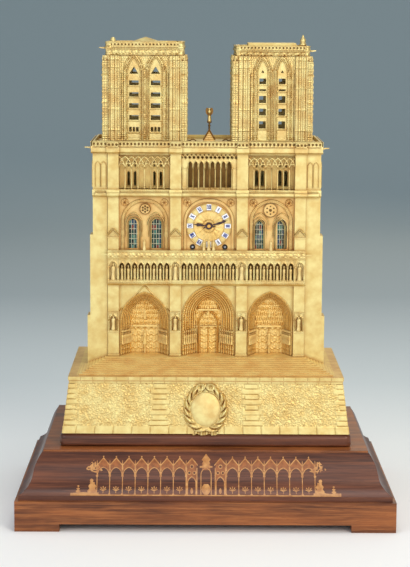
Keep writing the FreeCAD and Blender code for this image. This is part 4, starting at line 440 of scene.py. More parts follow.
def ringBand(place, centre, radius, profile, count=48, swell=None):  # the same round a full circle
    out, lift = columnsOf(profile)
    angle = np.linspace(0, 2 * pi, count, endpoint=False)[None]
    ww = np.broadcast_to(lift, (len(out), count)) + (swell(out, angle, lift) if swell else 0.0)
    uu = centre[0] + (radius + out) * np.cos(angle)
    return sheet(place(uu, centre[1] + (radius + out) * np.sin(angle), ww), True, True)


def strip(place, start, end, profile, fine=None, swell=None):
    # A straight moulding from start to end (u, v); out lies to the left of the run.
    out, lift = columnsOf(profile)
    start, end = np.array(start, float), np.array(end, float)
    length = math.dist(start, end)
    way = (end - start) / length
    side = np.array((-way[1], way[0]))
    along = np.linspace(0, length, 2 if fine is None else max(2, int(length / fine)) + 1)[None]
    ww = np.broadcast_to(lift, (len(out), along.shape[1])) + (swell(out, along, lift) if swell else 0.0)
    uu = start[0] + along * way[0] + out * side[0]
    vv = start[1] + along * way[1] + out * side[1]
    return sheet(capped(place(uu, vv, ww))[::-1], closeRows=True)


def turned(profile, sides=12, flutes=0, depth=0.0):  # (radius, z) turned about the upright axis at 0, 0
    radius, z = columnsOf(profile)
    angle = np.linspace(0, 2 * pi, sides, endpoint=False)[None]
    radius = radius * (1 + depth * np.cos(flutes * angle))
    points = np.stack(np.broadcast_arrays(radius * np.cos(angle), radius * np.sin(angle), z), -1)
    return sheet(capped(np.swapaxes(points, 0, 1)), closeRows=True)


def blocks(place, low, high):  # boxes from low (u, v, w) to high, one per row
    low, high = np.asarray(low, float).reshape(-1, 3), np.asarray(high, float).reshape(-1, 3)
    pick = np.array([(0, 0, 0), (1, 0, 0), (1, 1, 0), (0, 1, 0), (0, 0, 1), (1, 0, 1), (1, 1, 1), (0, 1, 1)])
    corner = low[:, None] + pick[None] * (high - low)[:, None]
    quads = np.array([(0, 3, 2, 1), (4, 5, 6, 7), (0, 1, 5, 4), (1, 2, 6, 5), (2, 3, 7, 6), (3, 0, 4, 7)])
    quads = (quads[None] + (np.arange(len(low)) * 8)[:, None, None]).reshape(-1, 4)
    return place(corner[..., 0], corner[..., 1], corner[..., 2]).reshape(-1, 3), quads, noTriangles


def crested(left, peak, right, side, top, base):  # profile with two upright sides and one crest
    return (left, base), (left, side), (peak, top), (right, side), (right, base)


def beading(high, pitch, above):  # swell of a moulding: beads on what stands above a lift
    return lambda out, along, lift: high * wave(along, pitch) * (lift > above)


def gabled(place, x, half, foot, tip, profile, fine=None, swell=None):  # two mouldings that meet at the tip
    corners = (x - half, foot), (x, tip), (x + half, foot)
    return [strip(place, corners[k], corners[k + 1], profile, fine, swell) for k in (0, 1)]


def cloud(uu, vv, size, seed=0):
    # Value noise: a random number on each corner of a size mm lattice, joined by a smooth curve.
    x, y = uu / size, vv / size
    i, j = np.floor(x), np.floor(y)
    fx, fy = x - i, y - j
    fx, fy = fx * fx * (3 - 2 * fx), fy * fy * (3 - 2 * fy)

    def corner(a, b):
        value = np.sin(a * 127.1 + b * 311.7 + seed * 74.7) * 43758.5453
        return value - np.floor(value)
    low = corner(i, j) * (1 - fx) + corner(i + 1, j) * fx
    high = corner(i, j + 1) * (1 - fx) + corner(i + 1, j + 1) * fx
    return low * (1 - fy) + high * fy


def makePiece(name, parts, material, body="case", replaces=(), smooth=38):
    points, quads, triangles = joined(parts)
    mesh = bpy.data.meshes.new(name)
    mesh.vertices.add(len(points))
    mesh.vertices.foreach_set("co", (points * mm).astype(np.float32).ravel())
    loops = np.concatenate((quads.ravel(), triangles.ravel())).astype(np.int32)
    totals = np.concatenate((np.full(len(quads), 4), np.full(len(triangles), 3))).astype(np.int32)
    mesh.loops.add(len(loops))
    mesh.loops.foreach_set("vertex_index", loops)
    mesh.polygons.add(len(totals))
    mesh.polygons.foreach_set("loop_start", np.concatenate(((0,), np.cumsum(totals)[:-1])).astype(np.int32))
    mesh.polygons.foreach_set("loop_total", totals)
    mesh.update(calc_edges=True)
    mesh.validate()
    mesh.polygons.foreach_set("use_smooth", np.ones(len(mesh.polygons), bool))
    mesh.set_sharp_from_angle(angle=math.radians(smooth))
    mesh.materials.append(materials[material])
    piece = bpy.data.objects.new(name, mesh)
    bpy.context.scene.collection.objects.link(piece)
    if replaces:
        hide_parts(*replaces)
    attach(piece, body)
    print(name, len(totals), "faces")
    return piece


# Wooden base: inlay picture on the front ogee

ogee = {"foot": (160.3, 46.0), "hollow": (0.575, 0.205), "turn": (0.395, 0.463), "round": (0.215, 0.8),
        "run": 28.85, "height": 50.8, "steps": 60}


def arcThrough(a, b, c):  # points on the circle through three points, from the first to the last
    (ax, ay), (bx, by), (cx, cy) = a, b, c
    a2, b2, c2 = ax * ax + ay * ay, bx * bx + by * by, cx * cx + cy * cy
    d = 2 * (ax * (by - cy) + bx * (cy - ay) + cx * (ay - by))
    ox = (a2 * (by - cy) + b2 * (cy - ay) + c2 * (ay - by)) / d
    oy = (a2 * (cx - bx) + b2 * (ax - cx) + c2 * (bx - ax)) / d
    first, last = math.atan2(ay - oy, ax - ox), math.atan2(cy - oy, cx - ox)
    turn = (last - first + pi) % (2 * pi) - pi
    angle = first + turn * np.linspace(0, 1, ogee["steps"])
    radius = math.hypot(ax - ox, ay - oy)
    return ox + radius * np.cos(angle), oy + radius * np.sin(angle)


def ogeePlace():
    # v runs up the moulding's curve (a hollow arc, then a round one), w stands off along its normal
    run, height = ogee["run"], ogee["height"]
    hollow, turn, crest = ((run * ogee[key][0], height * ogee[key][1]) for key in ("hollow", "turn", "round"))
    lowDepth, lowZ = arcThrough((run, 0.0), hollow, turn)
    highDepth, highZ = arcThrough(turn, crest, (0.0, height))
    y = run - ogee["foot"][0] - np.concatenate((lowDepth, highDepth[1:]))
    z = np.concatenate((lowZ, highZ[1:])) + ogee["foot"][1]
    along = np.concatenate(((0,), np.cumsum(np.hypot(np.diff(y), np.diff(z)))))
    slopeY, slopeZ = np.gradient(y, along), np.gradient(z, along)

    def place(u, v, w):
        u, v, w = np.broadcast_arrays(u, v, w)
        outY, outZ = -np.interp(v, along, slopeZ), np.interp(v, along, slopeY)
        return np.stack((u, np.interp(v, along, y) + w * outY, np.interp(v, along, z) + w * outZ), -1)
    return place


# The inlay is one row of arched bays between thin columns, with two richer bays and a kiosk in the middle and
# a draped stone, a shrub and foliage at each end. Every figure is a field that is positive inside it.

picture = {"thick": 0.3, "back": -0.2, "grid": 0.42, "pitch": 16.40, "middle": 0.6, "columns": 8, "first": 25.8,
           "base": (1.0, 2.9), "reach": 168.0, "shaft": (0.55, 2, 38.0), "capital": 29.2, "socle": 3.8,
           "spring": 30.5, "tip": 53.0, "line": 0.55, "plant": 8.6,
           "rich": 18.4, "richHalf": 6.6, "richArch": (5.4, 20, 8.5),
           "foils": (3.2, 33.5), "eye": 41.5, "kiosk": (6.6, 31, 9.0), "stone": 146.5, "shrub": 164.5,
           "leaves": ((0.0, 6.4), (0.5, 6.0), (-0.5, 6.0), (0.95, 4.6), (-0.95, 4.6))}


def marquetry():
    place = ogeePlace()
    pitch, middle = picture["pitch"], picture["middle"]
    columns = picture["first"] + pitch * np.arange(picture["columns"])
    columns = np.concatenate((middle - columns[::-1], middle + columns))
    bayCentres = (columns[1:] + columns[:-1]) / 2
    bayCentres = bayCentres[np.abs(bayCentres - middle) > 20]
    richBays = middle - picture["rich"], middle + picture["rich"]
    grid = around(0, 178, picture["grid"]), span(0.8, 59.0, picture["grid"])

    def line(distance, where=True, half=picture["line"]):
        return np.where(where, half - np.abs(distance), -9)

    def gable(uu, vv, x, drop=0):
        return (picture["tip"] - drop - vv) * 0.56 - np.abs(uu - x) * 0.66

    def bay(uu, vv):  # the nearest bay's middle, its arch and its gable
        nearest = bayCentres[np.abs(uu[..., None] - bayCentres).argmin(-1)]
        head = archField(uu, vv, nearest, pitch / 2 - 1.0, picture["spring"], pitch / 2 + 1.2)
        return nearest, head, gable(uu, vv, nearest)

    def lines(uu, vv):
        near = np.abs(uu[..., None] - columns).min(-1)
        nearest, head, slope = bay(uu, vv)
        off = np.abs(uu - nearest)
        inBay = off < pitch / 2
        (low, high), (half, foot, top) = picture["base"], picture["shaft"]
        fields = [least(high - vv, vv - low, picture["reach"] - np.abs(uu - middle)),
                  least(half - near, vv - foot, top - vv),
                  least(1.5 - near, 1.1 - np.abs(vv - picture["capital"])),
                  least(1.3 - near, 1.0 - np.abs(vv - picture["socle"])),
                  least((50.0 - vv) * 0.08 + 0.15 - near, vv - 36),  # spike over each column
                  line(head - 0.3, inBay & (vv > 30)), line(slope - 0.4, inBay & (vv > 38)),
                  0.9 - np.hypot(uu - nearest, vv - 54.2),
                  np.where(inBay, least(0.35 - off, vv - 5, 12 - vv), -9)]
        for tilt, reach in picture["leaves"]:  # a plant in each bay
            x, y = uu - nearest, vv - picture["plant"]
            length, across = x * math.sin(tilt) + y * math.cos(tilt), x * math.cos(tilt) - y * math.sin(tilt)
            fields.append(0.12 + 0.09 * length - np.hypot(across, np.clip(length, 0, reach) - length))
        foilX, foilZ = picture["foils"]
        for x in richBays:
            off = np.abs(uu - x)
            fields += [least(0.6 - np.abs(off - picture["richHalf"]), vv - 2, 40 - vv),
                       line(archField(uu, vv, x, *picture["richArch"]), off < 7.2, 0.6),
                       line(np.hypot(off - foilX, vv - foilZ) - 2.0, (off < 8) & (vv > 27)),
                       line(np.hypot(uu - x, vv - picture["eye"]) - 2.2),
                       line(gable(uu, vv, x) - 0.4, (vv > 36) & (off < 8)),
                       2.6 - np.hypot((uu - x) * 1.5, (vv - 9) * 0.6)]
        off = np.abs(uu - middle)  # kiosk: a lantern and its roof over an urn
        urn = 4.6 * np.sin(np.clip((vv - 3) / 17, 0, 1) * pi) ** 0.6 + 1.0 - off
        fields += [line(archField(uu, vv, middle, *picture["kiosk"]), off < 8.5, 0.6),
                   least(4.4 - off - 0.5 * np.sin(vv * 1.6), vv - 42, 50.5 - vv),
                   least(8.2 - off, vv - 40.2, 42.4 - vv),
                   least((58.6 - vv) * 0.7 - off, vv - 50),
                   least(urn, vv - 3, 19 - vv)]
        ragged = 5 * (cloud(uu, vv, 1.5, 5) - 0.40)
        ground = (3.2 + 2.2 * cloud(uu, vv * 0, 4.0, 8)) - vv * 0.9 + 1.2
        fields.append(np.where(np.abs(off - 156) < 18, least(ground, vv - 1), -9))
        for side in (-1, 1):
            x = middle + side * picture["stone"]
            stone = 6.2 - (vv - 3) * 0.16 + 0.8 * np.sin(vv * 0.9) - np.abs(uu - x)
            shrub = 3.4 - (vv - 3) * 0.22 + 0.9 * np.sin(vv * 1.7)
            shrub = shrub - np.abs(uu - middle - side * picture["shrub"])
            foliage = vv - 33 - 0.35 * np.abs(uu - middle - side * 142.0)
            fields += [least(stone, vv - 2.5, 21 - vv), 2.3 - np.hypot(uu - x - side * 1.0, vv - 23.2),
                       least(shrub, vv - 2.5, 18 - vv),
                       least(gable(uu - middle, vv, side * 145.0, 3), foliage, ragged)]
        return most(*fields)

    def panels(uu, vv):
        nearest, head, slope = bay(uu, vv)
        foilX, foilZ = picture["foils"]
        fields = [least(head - 0.9, slope - 0.3, pitch / 2 - 1.0 - np.abs(uu - nearest), vv - 31),
                  least(5.4 - np.abs(uu - middle), vv - 37, 46 - vv)]
        for x in richBays:
            off = np.abs(uu - x)
            fields.append(least(6.2 - off, vv - 20, gable(uu, vv, x), np.hypot(off - foilX, vv - foilZ) - 2.4,
                                np.hypot(uu - x, vv - picture["eye"]) - 2.6,
                                archField(uu, vv, x, *picture["richArch"]) - 0.6))
        return least(most(*fields), -lines(uu, vv))

    makePiece("marquetry_lines", [relief(place, *grid, picture["thick"], lines, picture["back"])], "boxwood_inlay",
              replaces=("marquetry_inlay",))
    makePiece("marquetry_panels", [relief(place, *grid, picture["thick"], panels, picture["back"])],
              "satinwood_inlay")


marquetry()


# Terrace: rough-faced battered walls with quoins, bottom course, coping joints

terrace = {"foot": 116.6, "deck": 190.6, "halves": (176.9, 102.0), "batter": 9.25, "course": 10.3, "coping": 8.9,
           "rock": 0.85, "proud": 1.05, "row": 6.9, "quoins": (14.5, 8.5), "chains": (-61.8, 61.4),
           "links": (13.6, 9.4), "joint": 24.2, "groove": 0.5, "grid": 0.66, "coarse": 1.15}
sideNames = {0: "front", 90: "right", 180: "back", 270: "left"}


def battered():  # height of the walls, their lean in degrees, length up the slope for each mm of height
    height, batter = terrace["deck"] - terrace["foot"], terrace["batter"]
    return height, math.degrees(math.atan2(batter, height)), math.hypot(batter, height) / height


def terraceMasonry():
    height, lean, scale = battered()
    halfX, halfY = (half + terrace["batter"] for half in terrace["halves"])
    top = (height - terrace["coping"]) * scale - 0.1
    slope = terrace["batter"] / height / scale
    course, tall, groove = terrace["course"] * scale, terrace["row"], terrace["groove"]
    for angle, half, origin in fourSides(halfX, halfY, z=terrace["foot"]):
        place = upright(origin, angle, lean)
        grid = terrace["grid"] if angle == 0 else terrace["coarse"]
        share = np.linspace(-1, 1, int(2 * half / grid) + 1)

        def mitred(u, v, w):  # u is a share of the width, which shrinks upwards
            return place(u / half * (half - slope * v - 0.02), v, w)

        def surface(uu, vv):
            rock = cloud(uu, vv, 1.1, 1) + 0.5 * cloud(uu, vv, 0.7, 2)
            face = 0.1 + terrace["rock"] * np.clip((rock - 0.5) * 2.4, 0, 1)
            row = np.floor((vv - course) / tall)
            inRow = (vv - course) - row * tall
            length = np.where(row % 2 == 0, *terrace["quoins"])
            edge = half - np.abs(uu)
            joint = least(inRow, tall - inRow, np.abs(edge - length))
            quoin = edge < length
            if angle == 0:  # two chains of quoins divide the front
                reach = np.where(row % 2 == 0, *terrace["links"])
                for x in terrace["chains"]:
                    chain = np.abs(uu - x) < reach
                    joint = np.where(chain, least(inRow, tall - inRow, reach - np.abs(uu - x)), joint)
                    quoin |= chain
            quoinFace = terrace["proud"] + 0.1 * cloud(uu, vv, 2.5, 3) - 1.0 * ridge(joint, groove)
            seam = np.abs((uu / terrace["joint"] + 0.5) % 1 - 0.5) * terrace["joint"]
            plain = 1.45 - 1.2 * ridge(seam, groove) - 0.8 * ridge(vv - course, groove)
            return np.where(vv < course, plain + 0.08 * cloud(uu, vv, 3.0, 4), np.where(quoin, quoinFace, face))
        makePiece("terrace_masonry_" + sideNames[angle],
                  [relief(mitred, share * half, span(0, top, grid), surface, None, -0.4)],
                  "matt_gilding", smooth=60)
    print("terrace done")


terraceMasonry()


# Wreathed medallion: one carved field. q is the size of the ellipse through a point, 1 on the wreath's
# middle line; leaves are slanted waves of |sin| round it, the oval inside is a low dome.

medal = {"x": -0.3, "z": 148.3, "wreath": (24.4, 28.4), "width": 0.19, "leaves": 8, "leaf": 3.6, "oval": 0.80,
         "rim": 0.82, "dome": 2.0, "bow": (6.5, 29.5), "ribbon": 31, "grid": 0.36}


def medallion():
    height, lean, _ = battered()
    y = -terrace["halves"][1] - terrace["batter"] * (terrace["deck"] - medal["z"]) / height
    place = upright((medal["x"], y, medal["z"]), 0, lean)
    (bowX, bowZ), leaves, oval = medal["bow"], medal["leaves"], medal["oval"]

    def shape(uu, vv):
        return np.hypot(uu / medal["wreath"][0], vv / medal["wreath"][1]), np.arctan2(uu, vv)

    def keep(uu, vv):
        q, angle = shape(uu, vv)
        edge = (1.12 + 0.08 * np.abs(np.sin(angle * leaves / 2 + 0.5)) - q) * 24
        ends = 2.2 - np.abs(vv + medal["ribbon"] - 2.0 * np.sin(uu * 0.45)) - np.clip(np.abs(uu) - 15, 0, 9)
        loops = [5.0 - np.hypot((uu - side * bowX) * 0.8, vv - bowZ + side * uu * 0.1) for side in (-1, 1)]
        return least(most(edge, ends, *loops), 33.5 - np.abs(vv))

    def carved(uu, vv):
        q, angle = shape(uu, vv)
        ring = np.clip(1 - ((q - 1.0) / medal["width"]) ** 2, 0, 1)
        leaf = np.abs(np.sin(angle * leaves + (q - 1) * 9 * np.sign(np.sin(angle + 1e-9)))) ** 0.6
        w = 1.4 + ring * (1.2 + medal["leaf"] * leaf - 0.25 * np.abs(np.sin(angle * leaves * 3)))
        dome = 1.0 + medal["dome"] * np.sqrt(np.clip(1 - (q / oval) ** 2, 0, 1)) + 0.12 * cloud(uu, vv, 4)
        w = np.where(q < oval, dome, w) + 1.5 * ridge(q - medal["rim"], 0.025)
        for side in (-1, 1):
            loop = np.hypot((uu - side * bowX) * 0.8, vv - bowZ)
            w = np.where((vv > 25) & (loop < 5), 5.2 - 2.4 * ridge(loop, 2.2) + 0.4 * np.sin(uu * 2.2), w)
        return np.where(vv < -28.6, 3.0 + 1.2 * np.sin(uu * 0.9), w)
    grid = around(0, 30, medal["grid"]), span(-34, 34.5, medal["grid"])
    makePiece("medallion_wreath", [relief(place, *grid, carved, keep, -0.6)], "chased_gilding",
              replaces=("medallion",), smooth=70)


medallion()


# Coping of the terrace: two courses of small blocks with open joints

coping = {"joint": 15.2, "gap": 0.3, "courses": ((181.8, 184.6, 1.3), (185.8, 190.5, 2.3))}


def copingBlocks():
    parts = []
    for angle, half, origin in fourSides(*terrace["halves"]):
        place = upright(origin, angle)
        for low, high, proud in coping["courses"]:
            count = int(2 * half / coping["joint"])
            edges = np.linspace(-half - proud, half + proud, count + 1)
            centres = (edges[1:] + edges[:-1]) / 2
            width = (edges[1] - edges[0]) / 2 - coping["gap"]
            corners = [np.stack((centres + side * width, np.full(count, z), np.full(count, w)), 1)
                       for side, z, w in ((-1, low + 0.1, proud - 0.4), (1, high - 0.1, proud + 0.45))]
            parts.append(blocks(place, *corners))
    makePiece("coping_blocks", parts, "matt_gilding")


copingBlocks()


# Figures: a robed body turned on its axis with soft folds, narrower from front to back, sloping
# shoulders, a neck, a plain egg-shaped head; a crown for the kings. Height 1, scaled for each place.

bodyShape = ((0.0, 0.0), (0.155, 0.0), (0.15, 0.04), (0.118, 0.25), (0.105, 0.42), (0.118, 0.55), (0.135, 0.68),
             (0.128, 0.75), (0.085, 0.795), (0.045, 0.815), (0.042, 0.835), (0.06, 0.86), (0.070, 0.895),
             (0.064, 0.935), (0.04, 0.965), (0.0, 0.975))
crownShape = ((0.0, 0.93), (0.066, 0.93), (0.078, 0.99), (0.05, 0.985), (0.0, 0.96))
folds = {"count": 5, "deep": 0.10, "arms": 0.22, "flat": 0.78, "slim": 0.84}


def robedFigure(crowned=False):
    radius, z = columnsOf(bodyShape)
    angle = np.linspace(0, 2 * pi, 16, endpoint=False)[None]
    fold = 1 + folds["deep"] * np.cos(folds["count"] * angle + 1.0) * np.clip((0.72 - z) / 0.2, 0, 1)
    arms = 1 + folds["arms"] * ridge(z - 0.58, 0.09) * np.clip(-np.sin(angle), 0, 1)
    x, y = radius * fold * arms * np.cos(angle), folds["flat"] * radius * fold * arms * np.sin(angle)
    body = sheet(np.swapaxes(np.stack(np.broadcast_arrays(x, y, z), -1), 0, 1), closeRows=True)
    if not crowned:
        return body
    points, quads, triangles = joined([body, turned(crownShape, 10)])
    return points * (folds["slim"], folds["slim"], 1.0), quads, triangles


figure, king = robedFigure(), robedFigure(True)


# Facade: bays, pillars, and what repeats in them

bays = ((-116.59, -48.25), (-33.85, 40.03), (54.43, 116.91))
centres = [(left + right) / 2 for left, right in bays]
pillars = (-123.79, -41.05, 47.23, 124.11)


def front(y):
    return upright((0, -y, 0))


# Splayed portals: the archivolts are rolls of |sin| from the face back to the tympanum, beaded along

portals = {"half": (31.73, 34.31, 29.0), "spring": (249.0, 255.0, 252.0), "rise": (1.26, 1.26, 1.32),
           "door": (16.6, 14.2, 15.9), "foot": 204.0, "face": 26.0, "depth": 20.0, "rolls": 6, "roll": 2.2,
           "plinth": 15.0, "lintel": 36.5, "inner": 2.6, "rows": (242.0, 6.6), "jambs": 7, "statue": 15.5,
           "leaf": 3.4, "straps": (210, 219, 228, 237), "arch": (11.7, 244.0, 17.5), "grid": (0.45, 0.5)}
canopy = ((0.0, 0.0), (1.3, 0.0), (1.6, 0.8), (1.1, 1.4), (1.0, 2.2), (0.0, 4.2))
pedestal = ((0, 0), (1.9, 0), (1.6, 2), (1.4, 9.5), (2.2, 11.9), (0, 12))


def middleDoorArch(deep, x, foot):  # the middle door stands in a pointed arch of its own
    half, spring, rise = portals["arch"]
    rollsIn = ((0, 0.2), (0, 2.2), (0.7, 3.4), (1.4, 2.4), (2.2, 3.4), (3.0, 2.4), (3.0, 0.2))
    return [archBand(deep, (x, half - 0.1, spring, rise, foot), rollsIn, 0.7),
            blocks(deep, (x - 13.5, 262.5, 0.3), (x + 13.5, 264.6, 3.8)),
            archBand(deep, (x, 13.0, 264.5, 14.5, 264.4), crested(0, 0.8, 1.6, 2.6, 3.6, 0.2), 0.7)]


def portalCastings():
    doors, statues, carving = [], [], []
    face, depth, foot, rollCount = portals["face"], portals["depth"], portals["foot"], portals["rolls"]
    place, deep, doorPlace = front(face), front(face - depth), front(portals["leaf"])
    top = foot + portals["lintel"]
    doorGrid, carvedGrid = portals["grid"]
    for index, centre in enumerate(centres):
        half, spring, rise, door = (portals[key][index] for key in ("half", "spring", "rise", "door"))
        middle = index == 1
        wide = half - door - portals["inner"]
        k = np.linspace(0, 1, rollCount * 6 + 1)
        roll = portals["roll"] * np.abs(np.sin(k * rollCount * pi)) ** 0.7
        profile = [(-wide, -depth - 1.5), *zip(-wide + k * wide, -depth + k * depth + roll * 0.9 - 0.4),
                   (0.0, 0.4), (0.0, -depth - 1.5)]

        def beads(out, along, lift):  # beads on every other roll, plain mouldings near the foot
            end = least(along, along.max() - along)
            roll = (out + wide) / wide * rollCount
            inside = (lift < 0.3) & (lift > -depth - 1)
            small = 0.5 * np.sin(2 * pi * along / 2.3 + np.floor(roll) * 1.3) * (np.floor(roll) % 2)
            small = small + 0.15 * np.sin(2 * pi * along / 3.7 + roll)
            flat = np.clip((end - portals["plinth"]) / 1.0, 0, 1)
            steps = -0.5 + 0.9 * (np.abs(end - 13.6) < 1.0) + 0.7 * (np.abs(end - 7.5) < 0.8) + 0.6 * (end < 3)
            return inside * (small * flat * 0.8 + steps * (1 - flat))
        carving.append(archBand(place, (centre, half, spring, rise * half, foot), profile, 0.62, beads))
        inner = half - wide
        off = (rise ** 2 - 1) * half / 2
        innerRise = math.sqrt(max(1.0, ((rise * half) ** 2 + half ** 2) / (2 * half) - wide) ** 2 - off ** 2)

        def tympanum(uu, vv):  # rows of small figures, a seated one in the middle, a plain lintel
            row = (vv - portals["rows"][0]) / portals["rows"][1]
            bump = np.abs(np.sin((uu - centre) * pi / 2.5 + np.floor(row) * 1.2)) ** 1.5
            w = 0.3 + 1.1 * bump * np.clip(np.sin((row % 1) * pi), 0, 1) ** 0.4 + 0.5 * cloud(uu, vv, 1.0, 6)
            w = np.where((row % 1) < 0.12, 1.3, w)
            seat = np.exp(-((uu - centre) / 3.2) ** 2 - ((vv - spring - 8) / 6.5) ** 2)
            return np.where(vv < portals["rows"][0] - 0.5, 2.6, w + 1.6 * seat)

        def within(uu, vv):
            return -archField(uu, vv, centre, inner + 0.4, spring, innerRise + 0.5, top)
        grid = around(centre, inner + 1, carvedGrid), span(top - 1, spring + innerRise + 1.5, carvedGrid)
        carving.append(relief(deep, *grid, tympanum, within, -1.6))
        if middle:
            carving += middleDoorArch(deep, centre, foot)
        else:
            carving.append(blocks(deep, (centre - door, 240.2, 1.5), (centre + door, 242.4, 3.4)))
        carving.append(archBand(place, (centre, half, spring, rise * half, foot + 2),
                                crested(-0.2, 0.6, 1.3, 0.9, 1.5, -0.3), 1.2))

        def leaves(uu, vv):  # door leaves: planks, iron straps with curls, a meeting stile
            side = np.abs(uu - centre)
            w = 0.5 + 0.12 * np.cos(side * 2 * pi / 2.4)
            for z in portals["straps"]:
                w = w + 0.7 * ridge(vv - z - 0.9 * np.sin(side * 0.9), 0.55)
                w = w + 0.45 * ridge(np.hypot(side - 8, vv - z - 3) - 2.2, 0.45)
            return w + 1.1 * ridge(side, 0.6) + 0.8 * (side > door - 1.6)

        def doorway(uu, vv):
            return -archField(uu, vv, centre, *portals["arch"])
        width = portals["arch"][0] if middle else inner + 0.3
        grid = around(centre, width, doorGrid), span(foot, 259.5 if middle else top + 0.5, doorGrid)
        doors.append(relief(doorPlace, *grid, leaves, doorway if middle else None, -1.2))
        if middle:
            for x in (centre - 14.2, centre + 14.2):
                doors.append(blocks(doorPlace, (x - 3.0, foot, -1.2), (x + 3.0, 262, 1.6)))
        for side in (-1, 1):  # jamb figures under little canopies, on the moulded plinth of the splay
            share = (np.arange(portals["jambs"]) + 0.55) / portals["jambs"]
            x, y = centre + side * (half - share * wide - 0.9), -face + share * depth - 1.3
            spots = np.stack((x, y, np.full(len(x), foot + portals["plinth"])), 1)
            statues.append(repeated(figure, spots, turns=side * 35.0, scales=portals["statue"]))
            statues.append(repeated(turned(canopy, 8), spots + np.array((0, 0, portals["statue"] + 0.3))))
        if not middle:
            statues.append(placed(figure, centre, -8.2, foot + 12.0, 19.5))
            statues.append(placed(turned(pedestal, 8), centre, -8.2, foot))
        statues.append(placed(figure, centre, -7.6, spring + 1.5, 14.0))
    makePiece("portal_carving", carving, "warm_gilding", replaces=("portal_arches",), smooth=50)
    makePiece("carved_doors", doors, "warm_gilding", replaces=("portal_doors",), smooth=60)
    makePiece("jamb_figures", statues, "worn_gilding", replaces=("portal_statues",), smooth=70)


portalCastings()


# Pillars: canopied niches with a figure between the portals, plinths, gabled set-offs above

niche = {"foot": 238.0, "top": 264.4, "half": 7.05, "opening": 4.3, "spring": 253.0, "rise": 6.2, "face": 33.0,
         "upper": 34.4, "gables": ((366.5, 9.0), (420.5, 5.0)), "portalGable": (-82.4, 33.0, 263.5, 297.4),
         "grid": 0.4}


def pillarNiches():
    figures, foot = [], niche["foot"]
    place, upper = front(niche["face"]), front(niche["upper"])
    parts = gabled(front(26.0), *niche["portalGable"], crested(0, 0.9, 1.8, 0.5, 1.1, -0.3))
    for x in pillars:
        def cut(uu, vv):
            return archField(uu, vv, x, niche["opening"], niche["spring"], niche["rise"], foot + 2)

        def frameHeight(uu, vv):
            edge = least(niche["half"] - np.abs(uu - x), vv - foot, niche["top"] - vv)
            gable = np.abs((262.4 - vv) * 0.75 - np.abs(uu - x))
            return (0.6 + 0.9 * (edge < 0.9) + 0.8 * ridge(cut(uu, vv) - 0.5, 0.4) + 0.7 * ridge(gable, 0.45)
                    + 0.3 * cloud(uu, vv, 1.0, 9))
        grid = around(x, niche["half"], niche["grid"]), span(foot, niche["top"], niche["grid"])
        parts.append(relief(place, *grid, frameHeight, cut, -0.3))
        figures.append(placed(figure, x, -31.9, foot + 1.6, 20.0))
        parts.append(blocks(front(0), (x - 4.4, foot + 1, 29.6), (x + 4.4, 258.5, 30.0)))
        parts.append(blocks(place, [(x - 7.6, 204.0, -1.0), (x - 7.5, 236.4, -1.0)],
                            [(x + 7.6, 207.4, 1.0), (x + 7.5, 238.0, 1.1)]))
        for z, run in niche["gables"]:  # little gables on the storey above
            parts.append(blocks(upper, (x - 7.6, z - 2.2, -0.3), (x + 7.6, z - 1.0, 1.6)))
            square = (0, -0.3), (0, 0.9), (0.8, 0.9), (0.8, -0.3)
            parts.append(archBand(upper, (x, 2.0, z + 0.6, 2.4, z - 0.6), square, 0.8))
            slanted = (0, -0.3), (0, 1.7), (0.8, 2.3), (1.6, 1.5), (1.6, -0.3)
            parts += gabled(upper, x, 7.4, z, z + run, slanted)
    makePiece("pillar_niches", parts, "chased_gilding", smooth=50)
    makePiece("niche_figures", figures, "figure_gilding", smooth=70)


pillarNiches()


# Kings' gallery: round columns under narrow pointed arches, kings against a dark sheet that paints the shade of the
# recess behind them

gallery = {"foot": 306.8, "top": 336.0, "counts": (8, 9, 7), "face": 36.0, "column": 1.05, "spring": 325.5,
           "rise": 5.6, "hood": 0.55, "cell": (7.2, 1, 2.3, 326.0, 6.2), "king": 20.0, "turn": 14,
           "standing": (-35.2, 347.8), "groups": (((0.0, 15.0),), ((0.0, 16.5), (-6.4, 14.0), (6.4, 14.0)),
                                                  ((0.0, 15.0),))}


def arcadeRow(left, right, count, column, spring, rise):  # half-round columns of radius column, hooded arches
    low, high = gallery["foot"], gallery["top"]
    pitch = (right - left) / count
    half = pitch / 2 - column

    def keep(uu, vv):
        nearest = left + (np.floor((uu - left) / pitch) + 0.5) * pitch
        return archField(uu, vv, nearest, half, spring, rise, low + 1.4)

    def height(uu, vv):
        edge = (uu - left) / pitch
        post = np.abs(edge - np.round(edge)) * pitch
        shaft = 0.9 + 1.2 * np.sqrt(np.clip(1 - (post / (column + 0.2)) ** 2, 0, 1))
        w = np.where(vv < spring - 0.5, shaft, 1.3)
        w = w + 0.7 * (np.abs(vv - spring + 0.6) < 0.7) * (post < column + 0.3) + 0.6 * (vv < low + 2.2)
        w = w + gallery["hood"] * ridge(keep(uu, vv) - 0.5, 0.35) * (vv > spring)
        leaf = 0.6 * ridge(np.abs(uu - left - np.round(edge) * pitch), 0.9) * (vv > spring + 4)
        return w + leaf + 0.5 * (vv > high - 1.2)
    return relief(front(gallery["face"]), span(left, right, 0.33), span(low, high, 0.4), height, keep, 0.0)


